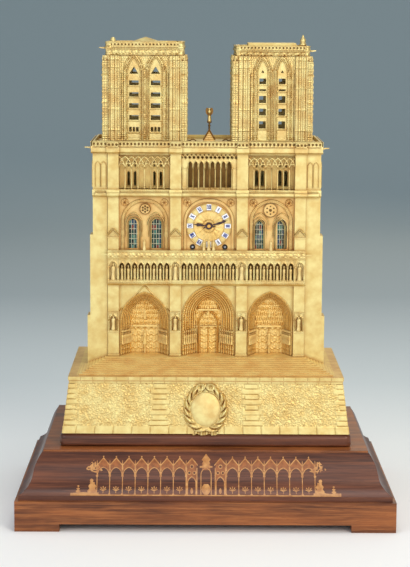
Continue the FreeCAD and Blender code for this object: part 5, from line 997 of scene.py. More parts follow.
def kingsGallery():
    arcade, kings, shadow = [], [], []
    low, high = gallery["foot"], gallery["top"]
    socket = turned(((0, 0), (2.6, 0), (2.2, 1.3), (0, 1.4)), 8)
    for (left, right), count in zip(bays, gallery["counts"]):
        arcade.append(arcadeRow(left, right, count, gallery["column"], gallery["spring"], gallery["rise"]))
        x = left + (np.arange(count) + 0.5) * ((right - left) / count)
        spots = np.stack((x, np.full(count, -33.2), np.full(count, low + 0.4)), 1)
        turns = np.linspace(-gallery["turn"], gallery["turn"], count)
        kings.append(repeated(king, spots, turns=turns, scales=gallery["king"]))
        kings.append(repeated(socket, spots - np.array((0, 0, 0.4))))
        # a dark plate on the wall behind each bay: painted shade of the recess behind the kings
        shadow.append(blocks(front(26.0), (left, low, 0.05), (right, high, 0.45)))
    cell, *shape = gallery["cell"]
    for x in pillars:
        arcade.append(arcadeRow(x - cell, x + cell, *shape))
        arcade.append(blocks(front(0), [(x - cell, low, 28.2), (x + 6.6, low, 28.2)],
                             [(x - 6.6, high, 36.2), (x + cell, high, 36.2)]))
        arcade.append(blocks(front(0), (x - 6.6, low, 32.7), (x + 6.6, high, 33.2)))
        kings.append(placed(figure, x, -34.4, low + 1.4, 22.5))
    for centre, group in zip(centres, gallery["groups"]):  # figures that stand on the band before dial and windows
        for side, size in group:
            kings.append(placed(figure, centre + side, *gallery["standing"], size))
    makePiece("kings_arcade", arcade, "chased_gilding", replaces=("kings_gallery",), smooth=50)
    makePiece("gallery_figures", kings, "figure_gilding", replaces=("gallery_statues",), smooth=70)
    makePiece("gallery_shade_sheet", shadow, "shaded_gilding")


kingsGallery()


# Bands and cornices: running leaf ornament is two crossed waves of |sin| with fine noise on top

bands = {"leaf": 5.2, "roll": 421.8, "bar": 36.0, "cap": 38.6, "bead": 2.4,
         "strings": ((303.6, -131, 131.3, 38.0), (426.4, -147, 147, 36.0)), "parapet": (485.8, 491.6),
         "ends": ((-151, -131.2), (131.6, 151)), "returns": ((90, -34, 90, 152.4), (180, -150, 150, 96.8),
                                                             (270, -90, 34, 152.4))}


def leafBand(place, left, right, low, high, thick=1.0, size=bands["leaf"], seed=0):
    middle, half = (low + high) / 2, (high - low) / 2

    def height(uu, vv):
        t = (vv - middle) / half
        stem = ridge(t - 0.35 * wave(uu, 2 * size), 0.22)
        leaf = np.abs(np.sin(pi * uu / size + 1.8 * t)) ** 1.5 * (1 - t * t)
        rim = (np.abs(t) > 0.84) * 0.9
        grain = 0.35 * (cloud(uu, vv, 0.9, seed) - 0.5) * (1 - rim)
        return 0.15 + thick * (0.55 * stem + 0.55 * leaf + grain) + rim * thick * 0.6
    return relief(place, span(left, right, 0.55), span(low, high, 0.5), height, None, -0.3)


def openParapet(place, left, right, low, high, pitch, hole=0.30, thick=1.1):
    # A rail with a bead above and below and a row of round holes, with a thin plate behind that takes the shaded
    # gilding: painted shade seen through the holes
    count = max(1, int(round((right - left) / pitch)))
    step = (right - left) / count
    middle, radius = (low + high) / 2, hole * min(step, high - low)

    def nearHole(uu, vv):
        nearest = left + (np.floor((uu - left) / step) + 0.5) * step
        return np.hypot(uu - nearest, vv - middle) - radius

    def height(uu, vv):
        bead = 0.5 * (least(vv - low, high - vv) < (high - low) * 0.18)
        rim = 0.35 * ridge(nearHole(uu, vv) - 0.4, 0.3)
        return 0.5 + thick * (bead + rim) + 0.15 * cloud(uu, vv, 1.2, 3)
    rail = relief(place, span(left, right, 0.5), span(low, high, 0.5), height, nearHole, 0.12)
    return rail, blocks(place, (left + 0.1, low + 0.1, -0.2), (right - 0.1, high - 0.1, 0.14))


def bandsAndCornices():
    carved, roll, (low, high) = [], bands["roll"], bands["parapet"]
    carved.append(leafBand(front(39.0), -131.0, 131.3, 338.2, 345.6, 1.1))
    for z, left, right, y in bands["strings"]:
        carved.append(strip(front(y), (left, z), (right, z), crested(-0.9, 0, 0.9, 0.5, 1.0, -0.2), 0.8,
                            beading(0.25, bands["bead"], 0.3)))
    angles = np.linspace(-pi / 2, pi / 2, 9)
    torus = [(-2.6, -0.3)] + [(2.6 * math.sin(a), 2.3 * math.cos(a)) for a in angles] + [(2.6, -0.3)]
    for left, right, y in [(-148, 148, bands["bar"])] + [(x - 7.9, x + 7.9, bands["cap"]) for x in pillars]:
        carved.append(strip(front(y), (left, roll), (right, roll), torus, 3.0))
    carved.append(leafBand(front(36.2), -146.8, 146.8, 476.8, 481.2, 0.8, 3.6, 4))
    rails = [openParapet(front(38.2), *ends, low, high, 5.0) for ends in bays + bands["ends"]]
    rails += [openParapet(front(40.7), x - 7.2, x + 7.2, 484.2, high, 4.8, 0.34) for x in pillars]
    for angle, left, right, reach in bands["returns"]:  # open parapet of the cornice round the other sides
        rails.append(openParapet(sunkInto(upright((0, 0, 0), angle), -reach), left, right, low, high, 6.0))
    carved += [rail for rail, _ in rails]
    makePiece("carved_bands", carved, "chased_gilding", smooth=50)
    # painted shade: the plates behind the parapet holes
    makePiece("parapet_shade_plate", [ground for _, ground in rails], "shaded_gilding")


bandsAndCornices()


# Window storey: pointed frames of three fine rolls, lancets with shafts and lead strips, rosettes,
# leafy roundels, the chased dial with enamel numerals

windows = {"foot": 347.7, "spring": 385.0, "halves": (30.75, 33.25, 28.1), "rise": 29.6, "bars": 3, "row": 6.6,
           "lancets": ((-96.45, 7.0, 382.0, 6.8), (-66.65, 7.0, 382.0, 6.8), (70.15, 5.9, 377.5, 9.2),
                       (97.55, 5.9, 377.5, 9.2)),
           "rosettes": ((-81.6, 401.9, 5.8, 1.45, 2.0), (84.7, 401.0, 8.2, 1.05, 1.6)), "petals": 6,
           "leaf": (410.6, 5.2), "cusps": (14.6, 10.6, 381.0, 15.5), "grid": (0.35, 0.33)}
dial = {"x": 3.09, "z": 379.7, "radius": 29.9, "plaque": 25.25, "cap": 5.2, "strokes": (0.52, 0.34), "chased": 20.7,
        "face": 28.0, "enamel": 28.8, "arbors": (21.5, 28.4, 4.2), "pipe": 5.0, "highest": 1.9, "grid": 0.33}


def rolls(width, lift, count):  # profile of side by side half rounds between out = 0 and width
    k = np.linspace(0, 1, count * 5 + 1)
    edge = list(zip(k * width, 0.35 + lift * np.abs(np.sin(k * count * pi)) ** 0.7))
    return [(0.0, -0.3)] + edge + [(width, -0.3)]


def leafyRoundel(place, x, z):  # six leaves, |cos 3 angle| fading outwards, inside a raised ring
    half, step = windows["leaf"][1], windows["grid"][0]

    def leafy(uu, vv):
        r, angle = np.hypot(uu - x, vv - z), np.arctan2(vv - z, uu - x)
        petal = 1.3 * np.abs(np.cos(angle * 3 + r * 0.5)) * np.clip(1 - r / 5.0, 0, 1) ** 0.5
        return 0.3 + petal + 0.9 * ridge(r - 4.4, 0.5)
    return relief(place, around(x, half, step), around(z, half, step), leafy,
                  lambda uu, vv: 5.0 - np.hypot(uu - x, vv - z), -0.3)


def rosette(place, x, z, radius, foil, rim):  # a pierced rose, its dark ground and its beaded rim
    def petals(uu, vv):
        r = np.hypot(uu - x, vv - z)
        angles = [k * pi / 3 for k in range(windows["petals"])]
        foils = [np.hypot(uu - x - radius * 0.62 * math.sin(a), vv - z - radius * 0.62 * math.cos(a)) for a in angles]
        return least(radius + 0.4 - r, r - radius * 0.24, least(*foils) - foil)
    step = windows["grid"][1]
    grid = around(x, radius + 1, step), around(z, radius + 1, step)
    # painted shade: a disc in the shaded gilding behind the holes of the rose
    ground = relief(place, *grid, 1.7, lambda uu, vv: radius - np.hypot(uu - x, vv - z), -0.1)
    edge = ringBand(place, (x, z), radius, rolls(rim, 2.4, 2), 48,
                    lambda out, angle, lift: 0.3 * np.sin(angle * 18) * (lift > 0.5))
    return [relief(place, *grid, 2.4, petals, 1.72), edge], ground


def windowStorey():
    parts, lead, leaves, ground, rose = [], [], [], [], []
    place, panes = front(26.0), front(23.9)
    foot, spring, rise = windows["foot"], windows["spring"], windows["rise"]
    for index, centre in enumerate(centres):
        half = windows["halves"][index]
        if index == 1:  # a plain roll round the dial
            parts.append(archBand(place, (centre, half - 1.2, spring, rise - 0.4, foot), rolls(1.6, 1.5, 1), 1.2))
        else:
            parts.append(archBand(place, (centre, half - 4.2, spring, rise - 4.2, foot), rolls(4.8, 1.6, 3), 0.9,
                                  beading(0.25, 2.0, 0.5)))
        for side in (-1, 1):
            leaves.append(leafyRoundel(place, centre + side * (half - 4.5), windows["leaf"][0]))
    foot += 1.2
    for x, half, spring, rise in windows["lancets"]:
        parts.append(archBand(place, (x, half - 0.5, spring, rise, foot), rolls(2.6, 1.4, 2), 0.8))
        parts.append(archBand(place, (x, half + 3.0, spring + 0.5, rise + 3.6, foot + 16), rolls(1.3, 1.0, 1), 1.0,
                              beading(0.4, 2.2, 0.4)))
        bars, top = np.linspace(x - half, x + half, windows["bars"] + 2)[1:-1], spring + rise * 0.8
        rows = np.arange(foot + 6.4, spring + rise - 2, windows["row"])
        lead.append(blocks(panes, [(bar - 0.3, foot, -0.2) for bar in bars], [(bar + 0.3, top, 0.5) for bar in bars]))
        lead.append(blocks(panes, [(x - half, z - 0.3, -0.2) for z in rows],
                           [(x + half, z + 0.3, 0.6) for z in rows]))
    for spot in windows["rosettes"]:
        pierced, dark = rosette(place, *spot)
        rose += pierced
        ground.append(dark)
    shift, half, spring, rise = windows["cusps"]
    for centre in centres[::2]:  # cusped tracery line between the lancets and the rosette
        for x in (centre - shift, centre + shift):
            parts.append(archBand(place, (x, half, spring, rise, spring), rolls(1.4, 1.1, 1), 1.0))
    makePiece("window_tracery", parts, "chased_gilding", smooth=50)
    # the roundels and the rosette tracery take the tawny shaded copy: painted shade
    makePiece("leafy_roundels", leaves, "tawny_shaded_gilding", smooth=60)
    makePiece("rosette_tracery", rose, "tawny_shaded_gilding", smooth=50)
    makePiece("rosette_shade_disc", ground, "shaded_gilding")
    makePiece("lead_strips", lead, "lead_strip")


windowStorey()


# Plain Roman hours: strokes of each numeral as (x0, y0, x1, y1) in a cell 1 high, joined side by side

letters = {"I": (0.24, [(0.12, 0, 0.12, 1)]), "V": (0.56, [(0.08, 1, 0.28, 0), (0.28, 0, 0.48, 1)]),
           "X": (0.58, [(0.08, 0, 0.50, 1), (0.08, 1, 0.50, 0)])}
hours = ("XII", "I", "II", "III", "IIII", "V", "VI", "VII", "VIII", "IX", "X", "XI")


def romanStrokes():
    result = []
    for name in hours:
        width = sum(letters[letter][0] for letter in name)
        x, strokes = -width / 2, []
        for letter in name:
            strokes += [(x + a, b - 0.5, x + c, d - 0.5) for a, b, c, d in letters[letter][1]]
            x += letters[letter][0]
        result.append((strokes, min(1.0, 1.05 / width)))
    return result


def hourNumerals():
    numerals, middle, place = [], (dial["x"], dial["z"]), front(dial["enamel"])
    broad, thin = dial["strokes"]
    for hour, (strokes, squeeze) in enumerate(romanStrokes()):
        turn = -hour * pi / 6
        spin = np.array(((math.cos(turn), -math.sin(turn)), (math.sin(turn), math.cos(turn))))
        for x0, y0, x1, y1 in strokes:
            ends = []
            for end in ((x0 * squeeze, y0), (x1 * squeeze, y1)):
                point = np.array(end) * dial["cap"]
                point[1] += dial["plaque"]
                ends.append(tuple(spin @ point + middle))
            wide = broad if abs(x0 - x1) < 0.01 or y0 > y1 else thin
            profile = (-wide, -0.05), (-wide, 0.1), (wide, 0.1), (wide, -0.05)
            numerals.append(strip(place, *ends, profile))
    makePiece("hour_numerals", numerals, "blue_enamel")


def dialChasing():
    place, rim = upright((dial["x"], -dial["face"], dial["z"])), dial["radius"] - 1.0
    arborX, arborDrop, collet = dial["arbors"]

    def chased(uu, vv):  # 16 leaves round a rayed middle, between two rings
        r, angle = np.hypot(uu, vv), np.arctan2(vv, uu)
        leaf = np.abs(np.cos(angle * 8)) * np.clip(1 - np.abs(r - 14) / 6.5, 0, 1)
        ray = 0.5 * np.abs(np.sin(angle * 12 + np.where(r > 9, 0, 1.2))) * (r < 9)
        ring = ridge(r - 20.0, 0.5) + ridge(r - 8.6, 0.45)
        return least(0.15 + 0.7 * leaf ** 0.6 + ray + 0.7 * ring + 0.35 * np.abs(np.sin(angle * 24 + r * 1.3)),
                     dial["highest"])

    def disc(uu, vv):
        r = np.hypot(uu, vv)
        return least(dial["chased"] - r, np.hypot(np.abs(uu) - arborX, vv + arborDrop) - collet, r - dial["pipe"])
    grid = around(0, 21, dial["grid"])
    parts = [relief(place, grid, grid, chased, disc, -0.2),
             ringBand(place, (0, 0), rim, crested(0, 0.45, 0.9, 0.7, 1.0, -0.2), 96,
                      lambda out, angle, lift: 0.15 * np.sin(angle * 60) * (lift > 0.8))]
    makePiece("dial_chasing", parts, "warm_gilding", smooth=50)


hourNumerals()
dialChasing()


# Blades of the hands: a leaf whose half width swells as exp(-t^2) along it and comes to a point

hands = {"hour": {"tip": (-20.4, 2.4), "width": 1.25, "front": 30.45, "body": "hour_hand_set"},
         "minute": {"tip": (23.6, 7.0), "width": 1.1, "front": 32.05, "body": "minute_hand_set"}}
blade = {"stem": 0.45, "swell": (0.58, 0.2), "point": 2.0, "start": 3.2, "thick": (-0.25, 0.12), "grid": 0.25}


def handBlades():
    low, high = blade["thick"]
    for name, kind in hands.items():
        tip, length = kind["tip"], math.hypot(*kind["tip"])
        aheadU, aheadV = np.array(tip) / length

        def keep(uu, vv):
            along, across = uu * aheadU + vv * aheadV, np.abs(uu * aheadV - vv * aheadU)
            half = blade["stem"] + kind["width"] * ridge(along - blade["swell"][0] * length,
                                                         blade["swell"][1] * length)
            half = half * np.clip((length - along) / blade["point"], 0, 1)
            return least(half - across, along - blade["start"])
        u = span(min(0, tip[0]) - 2, max(0, tip[0]) + 2, blade["grid"])
        shape = relief(upright((dial["x"], -kind["front"], dial["z"])), u, span(-3, 9.5, blade["grid"]),
                       high, keep, low)
        makePiece(name + "_hand_blade", [shape], "blued_steel", body=kind["body"])


handBlades()


# Colonnade: tall pointed arches. In the side bays they pair up under wider interlacing arches with
# pierced foils between; in the middle bay a row of rings runs above them, before a dark sheet of painted shade.

colonnade = {"foot": 428.2, "top": 476.0, "face": 29.0, "count": 8, "shaft": 0.95, "spring": 460.0,
             "open": (bays[0], (-25.6, 33.0), bays[2]), "slots": (1.6, None, 2.4), "slotTop": (450.0, None, 452.0),
             "slotBays": (1, 2, 5, 6), "foils": ((0.0, 464.0), (1.5, 461.2), (0.0, 458.4)), "foil": 1.1,
             "rings": 5.6, "ringRows": ((470.9, 1.6), (474.2, 0.7)), "wall": 16.1, "grid": (0.4, 0.48)}


def colonnadeRow(index, left, right, pitch):
    low, high, spring = colonnade["foot"], colonnade["top"], colonnade["spring"]
    half, middle = pitch / 2 - colonnade["shaft"], (left + right) / 2
    (ringZ, ringRadius), (dotZ, dotRadius) = colonnade["ringRows"]

    def keep(uu, vv):
        nearest = left + (np.floor((uu - left) / pitch) + 0.5) * pitch
        field = archField(uu, vv, nearest, half, spring - (3 if index != 1 else -1.5), half * 1.6, low + 3.2)
        if index == 1:
            field = most(field, 9 * (np.abs(uu - middle) > (right - left) / 2))
            place = (uu - left) / colonnade["rings"]
            ring = left + (np.floor(place) + 0.5) * colonnade["rings"]
            dot = left + np.round(place) * colonnade["rings"]
            return least(field, np.hypot(ring - uu, vv - ringZ) - ringRadius,
                         np.hypot(dot - uu, vv - dotZ) - dotRadius)
        bars = [1.4 - field, np.abs(uu - middle) - (right - left) / 2, vv - high + 2.0]
        for shift in (0.0, 1.0):  # two rows of wide arches that cross
            wide = left + (2 * np.floor((uu - left) / (2 * pitch) + shift / 2) + 1 - shift) * pitch
            bars.append(0.8 - np.abs(archField(uu, vv, wide, pitch - 0.6, spring - 3, pitch * 1.7)))
        return least(field, most(*bars))

    def height(uu, vv):
        edge = (uu - left) / pitch
        post = np.abs(edge - np.round(edge)) * pitch
        w = np.where(vv < spring - 4, 0.7 + 1.1 * np.sqrt(np.clip(1 - (post / 1.1) ** 2, 0, 1)), 1.0)
        w = w + 0.9 * (np.abs(vv - spring + 3.4) < 0.8) * (post < 1.5)
        w = w + 0.6 * (vv < low + 3.6) + 0.5 * (vv > high - 1.4)
        w = w + 0.6 * ridge(keep(uu, vv) - 0.45, 0.3)
        return w if index == 1 else w + 0.6 * (vv > spring - 3) * (vv < high - 2)
    stepU, stepV = colonnade["grid"]
    return relief(front(colonnade["face"]), span(*bays[index], stepU), span(low, high, stepV), height, keep, 0.0)


def colonnadeWall(index, left, right, pitch):  # the wall behind, pierced by slots under three foils
    low, high = colonnade["foot"], colonnade["top"]
    spots = left + (np.array(colonnade["slotBays"]) + 0.5) * pitch
    wide, slotTop = colonnade["slots"][index], colonnade["slotTop"][index]

    def pierced(uu, vv):
        near = np.abs(uu[..., None] - spots).min(-1)
        foils = [np.hypot(near - x, vv - z) - colonnade["foil"] for x, z in colonnade["foils"]]
        return least(archField(near, vv, 0.0, wide, slotTop - wide, wide * 1.4, low + 4), *foils)

    def carved(uu, vv):
        rim = 0.7 * ridge(pierced(uu, vv) - 0.45, 0.3)
        return 0.4 + rim + 0.25 * np.abs(np.sin(uu * 1.4)) + 0.2 * cloud(uu, vv, 1.2, 2)
    return relief(front(colonnade["wall"]), span(left + 0.2, right - 0.2, 0.48), span(low + 0.2, high - 0.2, 0.55),
                  carved, pierced, 0.0)


def colonnadeArcades():
    parts, back, dark = [], [], []
    low, high, wall = colonnade["foot"], colonnade["top"], colonnade["wall"]
    for index, (left, right) in enumerate(colonnade["open"]):
        bay = index, left, right, (right - left) / colonnade["count"]
        parts.append(colonnadeRow(*bay))
        if index == 1:
            # painted shade: a dark sheet behind the open middle bay
            dark.append(blocks(front(0), (left, low + 0.2, wall), (right, high - 0.2, wall + 0.5)))
        else:
            back.append(colonnadeWall(*bay))
    makePiece("colonnade_arcades", parts, "chased_gilding", replaces=("colonnade",), smooth=50)
    makePiece("inner_tracery", back, "worn_gilding", smooth=50)
    makePiece("colonnade_shade_sheet", dark, "shaded_gilding")


colonnadeArcades()


# Towers: pierced sheets framed by pointed rolls, piers of clustered shafts with crockets, leaf cornices,
# open parapets between octagonal turrets. Heights are waves of |sin| across, beaded by a wave along.

towers = {"boxes": ((-137.6, -27.2), (33.0, 138.3)), "front": 28.0, "back": 80.0, "foot": 492.6, "height": 111.1,
          "columns": (14.24, 12.8), "halves": (6.3, 4.6), "mid": (614.2, 611.5), "tops": (621.7, 617.1), "set": 4.1,
          "rows": (((0.102, 0.056), (0.241, 0.056), (0.382, 0.056), (0.517, 0.050), (0.651, 0.056)),
                   ((0.147, 0.086), (0.302, 0.080), (0.449, 0.083), (0.590, 0.022), (0.672, 0.066))),
          "points": ((0.785, 0.086, 6.0), (0.804, 0.033, 2.2)), "spring": 581.0, "rise": (19.5, 17.0), "roll": 2.1,
          "bead": 2.5, "shaft": 3.05, "crockets": 27.6, "pier": (22.4, 7.1), "buttress": (6.9, 0.1, 104), "sunk": 7.0,
          "sideArches": (-13.5, 13.5), "fine": 0.66, "coarse": 1.6}
bud = ((0, 0), (2.6, 0), (2.9, 1.0), (1.9, 2.0), (1.5, 4.0), (0.9, 4.6), (1.2, 5.6), (0, 7.2))
caps = (((125.3, -17.6), ((0, 611), (3.8, 611), (4.0, 617), (4.8, 618), (4.5, 620), (3.4, 621), (3.7, 623.5),
                          (3.9, 625), (2.6, 627), (1.8, 628.5), (1.3, 629.5), (1.3, 630.4), (0, 631.9))),
        ((-124.4, -17.6), ((0, 614), (3.8, 614), (4.0, 620), (4.7, 621), (4.4, 623), (3.2, 624), (3.3, 625.5),
                           (1.6, 627), (0, 627.6))))


def towerSheet(place, index, fine):
    foot, tall, half, rows = towers["foot"], towers["height"], towers["halves"][index], towers["rows"][index]
    left, right = towers["boxes"][index]
    spots = (-towers["columns"][index], towers["columns"][index])
    reach = (right - left) / 2 - 22.6
    low, tip, wide = towers["points"][index]
    pointFoot, pointTall, spring, rise = foot + low * tall, tip * tall, towers["spring"], towers["rise"][index]

    def keep(uu, vv):
        fields = [np.full(uu.shape, 30.0)]
        for x in spots:
            side = np.abs(uu - x)
            for k, (start, share) in enumerate(rows):
                hole = most(side - half, np.abs(vv - (foot + (start + share / 2) * tall)) - share * tall / 2)
                if index == 0 and k == 0:  # two bars stand in the lowest opening
                    hole = most(hole, 0.6 - np.abs(side - 2.1))
                fields.append(hole)
            fields.append(most((side - wide * (1 - (vv - pointFoot) / pointTall)) * 0.7, pointFoot - vv))
        return least(*fields)

    def height(uu, vv):
        out = least(*(archField(uu, vv, x, half + 1.6, spring, rise, foot + 1) for x in spots))
        step = out / towers["roll"]
        bead = wave(vv, towers["bead"])
        roll = 1.3 * np.abs(np.sin(pi * step)) ** 0.7 * (1 + 0.45 * bead * (np.floor(step) % 2 == 0))
        w = np.where((out > 0) & (step < 3), 1.5 + roll, 1.3)
        edge = np.abs(np.sin(pi * uu / 2.4)) * (1 + 0.4 * bead)
        leafy = np.abs(np.sin(uu * 1.1 + 0.6 * np.sin(vv * 0.9)) * np.sin(vv * 1.2))
        w = np.where(step >= 3, 1.3 + np.where(vv < spring, 0.9 * edge, 0.8 * leafy), w)
        for x in spots:
            for start, _ in rows:
                w = w + 0.9 * ridge(vv - foot - start * tall + 1.3, 0.6) * (np.abs(uu - x) < half + 1.4)
        return w + 0.2 * cloud(uu, vv, 1.1, 5) + 0.8 * (vv < foot + 3)
    return relief(place, around(0, reach, fine), span(foot + 0.3, foot + tall - 0.3, fine), height, keep, 0.1)


def towerPiers(place, half, fine):  # clustered shafts and, outside them, a flat buttress, at both edges of a side
    foot, top = towers["foot"], towers["foot"] + towers["height"]
    bead, pitch, rise = towers["bead"], towers["shaft"], towers["crockets"]
    far, near, high = towers["buttress"]

    def cluster(uu, vv):
        shaft = np.abs(np.sin(pi * (uu - half) / pitch)) ** 0.7
        beads = 0.4 * wave(vv, bead) * shaft * (np.floor((uu - half) / pitch) % 2 == 0)
        ring = 0.6 * (np.abs((vv - foot) % rise - rise / 2) < 1.0) + 0.7 * (np.abs(vv - top + 5) < 1.2)
        return 1.6 + 1.2 * shaft + beads + ring

    def buttress(uu, vv):
        return (0.3 + 0.7 * np.abs(np.sin(pi * (uu - half) / 3.4)) + 0.35 * wave(vv, bead)
                + 0.5 * (np.abs((vv - foot) % 34 - 17) < 1.0))
    parts = []
    for side in (-1, 1):
        u = span(*sorted(side * (half - edge) for edge in towers["pier"]), fine)
        parts.append(relief(sunkInto(place, 2.4), u, span(foot + 0.3, top - 0.2, fine * 1.15), cluster, None, 0.0))
        u = span(*sorted((side * (half - far), side * (half - near))), fine)
        parts.append(relief(place, u, span(foot + 0.3, foot + high, fine * 1.15), buttress, None, -0.2))
    return parts


def towerDetail():
    sheets, crowns, ground = [], [], []
    foot, top, setBack = towers["foot"], towers["foot"] + towers["height"], towers["set"]
    for index, (left, right) in enumerate(towers["boxes"]):
        shafts = []
        middle = (left + right) / 2, (towers["back"] - towers["front"]) / 2
        wide, deep = (right - left) / 2, (towers["front"] + towers["back"]) / 2
        mid, high = towers["mid"][index], towers["tops"][index]
        for angle, half, origin in fourSides(wide, deep, middle):
            place = upright(origin, angle)
            fine = towers["fine"] if angle == 0 else towers["coarse"]
            shafts += towerPiers(place, half, fine)
            inset = sunkInto(place, towers["sunk"])
            if angle in (0, 180):
                sheets.append(towerSheet(inset, index, fine))
            else:
                sheets += [archBand(inset, (x, 9.0, 579.0, 16.0, foot + 1), rolls(4.2, 1.9, 3), 1.2)
                           for x in towers["sideArches"]]
            reach = half - setBack - 5.0
            crowns.append(leafBand(sunkInto(place, setBack + 0.6), -reach, reach, top + 0.8, mid - 2.6, 1.3, 4.4, 7))
            crowns.append(strip(sunkInto(place, setBack), (-reach, mid - 1.2), (reach, mid - 1.2),
                                crested(-0.8, 0, 0.8, 0.4, 0.9, -0.2), 0.8, beading(0.3, 2.2, 0.3)))
            rail, back = openParapet(sunkInto(place, setBack + 0.5), -reach, reach, mid + 0.5, high - 0.3, 4.6, 0.26)
            crowns.append(rail)
            ground.append(back)
        turret = turned(((0, top - 4), (3.0, top - 4), (5.6, top + 1.5), (4.7, top + 3.5), (4.7, mid - 3),
                         (6.1, mid - 1), (6.1, mid + 1), (5.0, mid + 2), (5.2, high - 1.2), (5.8, high - 0.6),
                         (5.6, high), (0, high)), 8)
        for x, inward in ((left, 1), (right, -1)):
            for y, back in ((-towers["front"], 1), (towers["back"], -1)):
                crowns.append(placed(turret, x + inward * 8.4, y + back * 8.4, 0))
                crowns.append(placed(turned(bud, 8), x + inward * 3.4, y + back * 3.4, foot + 104.3))
        makePiece(("left", "right")[index] + "_tower_shafts", shafts, "chased_gilding", smooth=50)
    makePiece("tower_tracery", sheets, "chased_gilding", smooth=50)
    makePiece("tower_crowns", crowns, "chased_gilding", smooth=50)
    # painted shade: the plates behind the holes of the tower parapets
    makePiece("tower_parapet_shade_plate", ground, "shaded_gilding")
    makePiece("tower_caps", [placed(turned(profile, 8), *spot, 0) for spot, profile in caps], "chased_gilding",
              replaces=("tower_pinnacles",), smooth=50)


towerDetail()


# Gable between the towers: moulded edges, dull infill, a winged finial figure; little scrolls beside it.
# Painted shade: the mouldings, figure and scrolls take the shaded gilding, the infill the tawny shaded gilding, for
# the gable set back between the towers.

nave = {"x": 3.09, "face": -4.0, "half": 8.4, "foot": 492.6, "tip": 507.0, "wings": 529.5,
        "figure": (6.5, 514.5, 19.8), "scrolls": ((4.2, 22.0), (2.6, 27.2))}
finialStem = ((0, 0), (1.6, 0), (1.0, 2), (1.9, 4), (0.8, 6), (1.7, 7.5), (0, 8))


def naveGable():
    place = front(nave["face"])
    x, half, foot, tip, wing = (nave[key] for key in ("x", "half", "foot", "tip", "wings"))
    slope = (tip - foot) / half

    def inside(uu, vv):
        return least(((tip - vv) / slope - np.abs(uu - x)) * 0.85 - 1.3, half - 1.5 - np.abs(uu - x))
    infill = relief(place, around(x, half, 0.4), span(foot - 6, tip, 0.4),
                    lambda uu, vv: 0.4 + 0.3 * np.abs(np.sin(vv * 1.1)), inside, -0.2)
    edges = gabled(place, x, half, foot, tip, crested(-1.7, -0.8, 0, 1.4, 1.9, -0.2), 0.8, beading(0.4, 2.4, 0.5))

    def wings(uu, vv):
        return 2.7 - np.hypot(np.abs(uu - x) - 2.3 - (vv - wing) * 0.12, (vv - wing) * 0.55)
    edges.append(relief(front(-6.6), around(x, 6, 0.3), span(524, 535, 0.3), 0.9, wings, -0.9))
    edges.append(placed(figure, x, *nave["figure"]))
    edges.append(placed(turned(finialStem, 8), x, nave["figure"][0], 506.6))
    for side in (-1, 1):
        for size, shift in nave["scrolls"]:
            scroll = (x + side * shift, size, foot - 5.6, size, foot - 5.6)
            edges.append(archBand(front(-9.0), scroll, ((0, -1.4), (0, 1.4), (1.5, 1.4), (1.5, -1.4)), 0.8))
    # painted shade of the set-back gable
    makePiece("gable_mouldings", edges, "shaded_gilding", smooth=50)
    makePiece("gable_infill", [infill], "tawny_shaded_gilding")


naveGable()


# Side walls and wings: blind pointed windows with sills and string courses, as cast panels of this kind have

sides = {"wall": 147.7, "wing": 150.9, "back": 92.0, "courses": (297.0, 340.0, 423.0, 476.5),
         "rows": ((210.0, 262.0, 11.0, 17.0, (16.0, 43.0, 70.0)), (312.0, 352.0, 9.0, 13.0, (16.0, 43.0, 70.0)),
                  (430.0, 458.0, 6.5, 10.0, (10.0, 27.0, 44.0, 61.0, 78.0))),
         "backArches": ((10.0, 430.0, 16.0, 330.0), (10.0, 275.0, 16.0, 212.0)),
         "backSpots": (-122.0, -90.0, 90.0, 122.0)}


def sideWalls():
    parts = []
    for angle, sign in ((90, 1), (270, -1)):  # u runs to the back on the right side, to the front on the left
        place = upright((sign * sides["wall"], 0, 0), angle)
        for foot, spring, half, rise, spots in sides["rows"]:
            for y in spots:
                u = sign * y
                parts.append(archBand(place, (u, half, spring, rise, foot), rolls(2.6, 1.3, 2), 1.3))
                parts.append(archBand(place, (u, half / 2 - 0.8, spring - 2, half * 0.8, foot), rolls(1.0, 0.8, 1),
                                      1.3))
                parts.append(blocks(place, (u - half - 3, foot - 2.2, -0.2), (u + half + 3, foot, 1.4)))
        near, far = sorted((sign * 2, sign * 90))
        for z in sides["courses"]:
            parts.append(blocks(place, (near, z, -0.2), (far, z + 2.0, 1.2)))
        wing = upright((sign * sides["wing"], 0, 0), angle)
        for u in (-21.0 * sign, -10.5 * sign):
            parts.append(archBand(wing, (u, 3.6, 458.0, 6.5, 431.0), rolls(1.2, 1.0, 1), 1.0))
    for side in (-1, 1):  # blind double arches on the wings' fronts
        for k in (0, 1):
            arch = (side * (136.6 + 7.6 * k), 2.9, 459.0, 5.4, 431.5)
            parts.append(archBand(front(30.0), arch, rolls(0.9, 0.9, 1), 0.8))
    back = upright((0, sides["back"], 0), 180)
    for x in sides["backSpots"]:
        parts += [archBand(back, (x, *arch), rolls(2.6, 1.3, 2), 1.4) for arch in sides["backArches"]]
    makePiece("side_tracery", parts, "matt_gilding", smooth=50)


sideWalls()


# Camera and studio

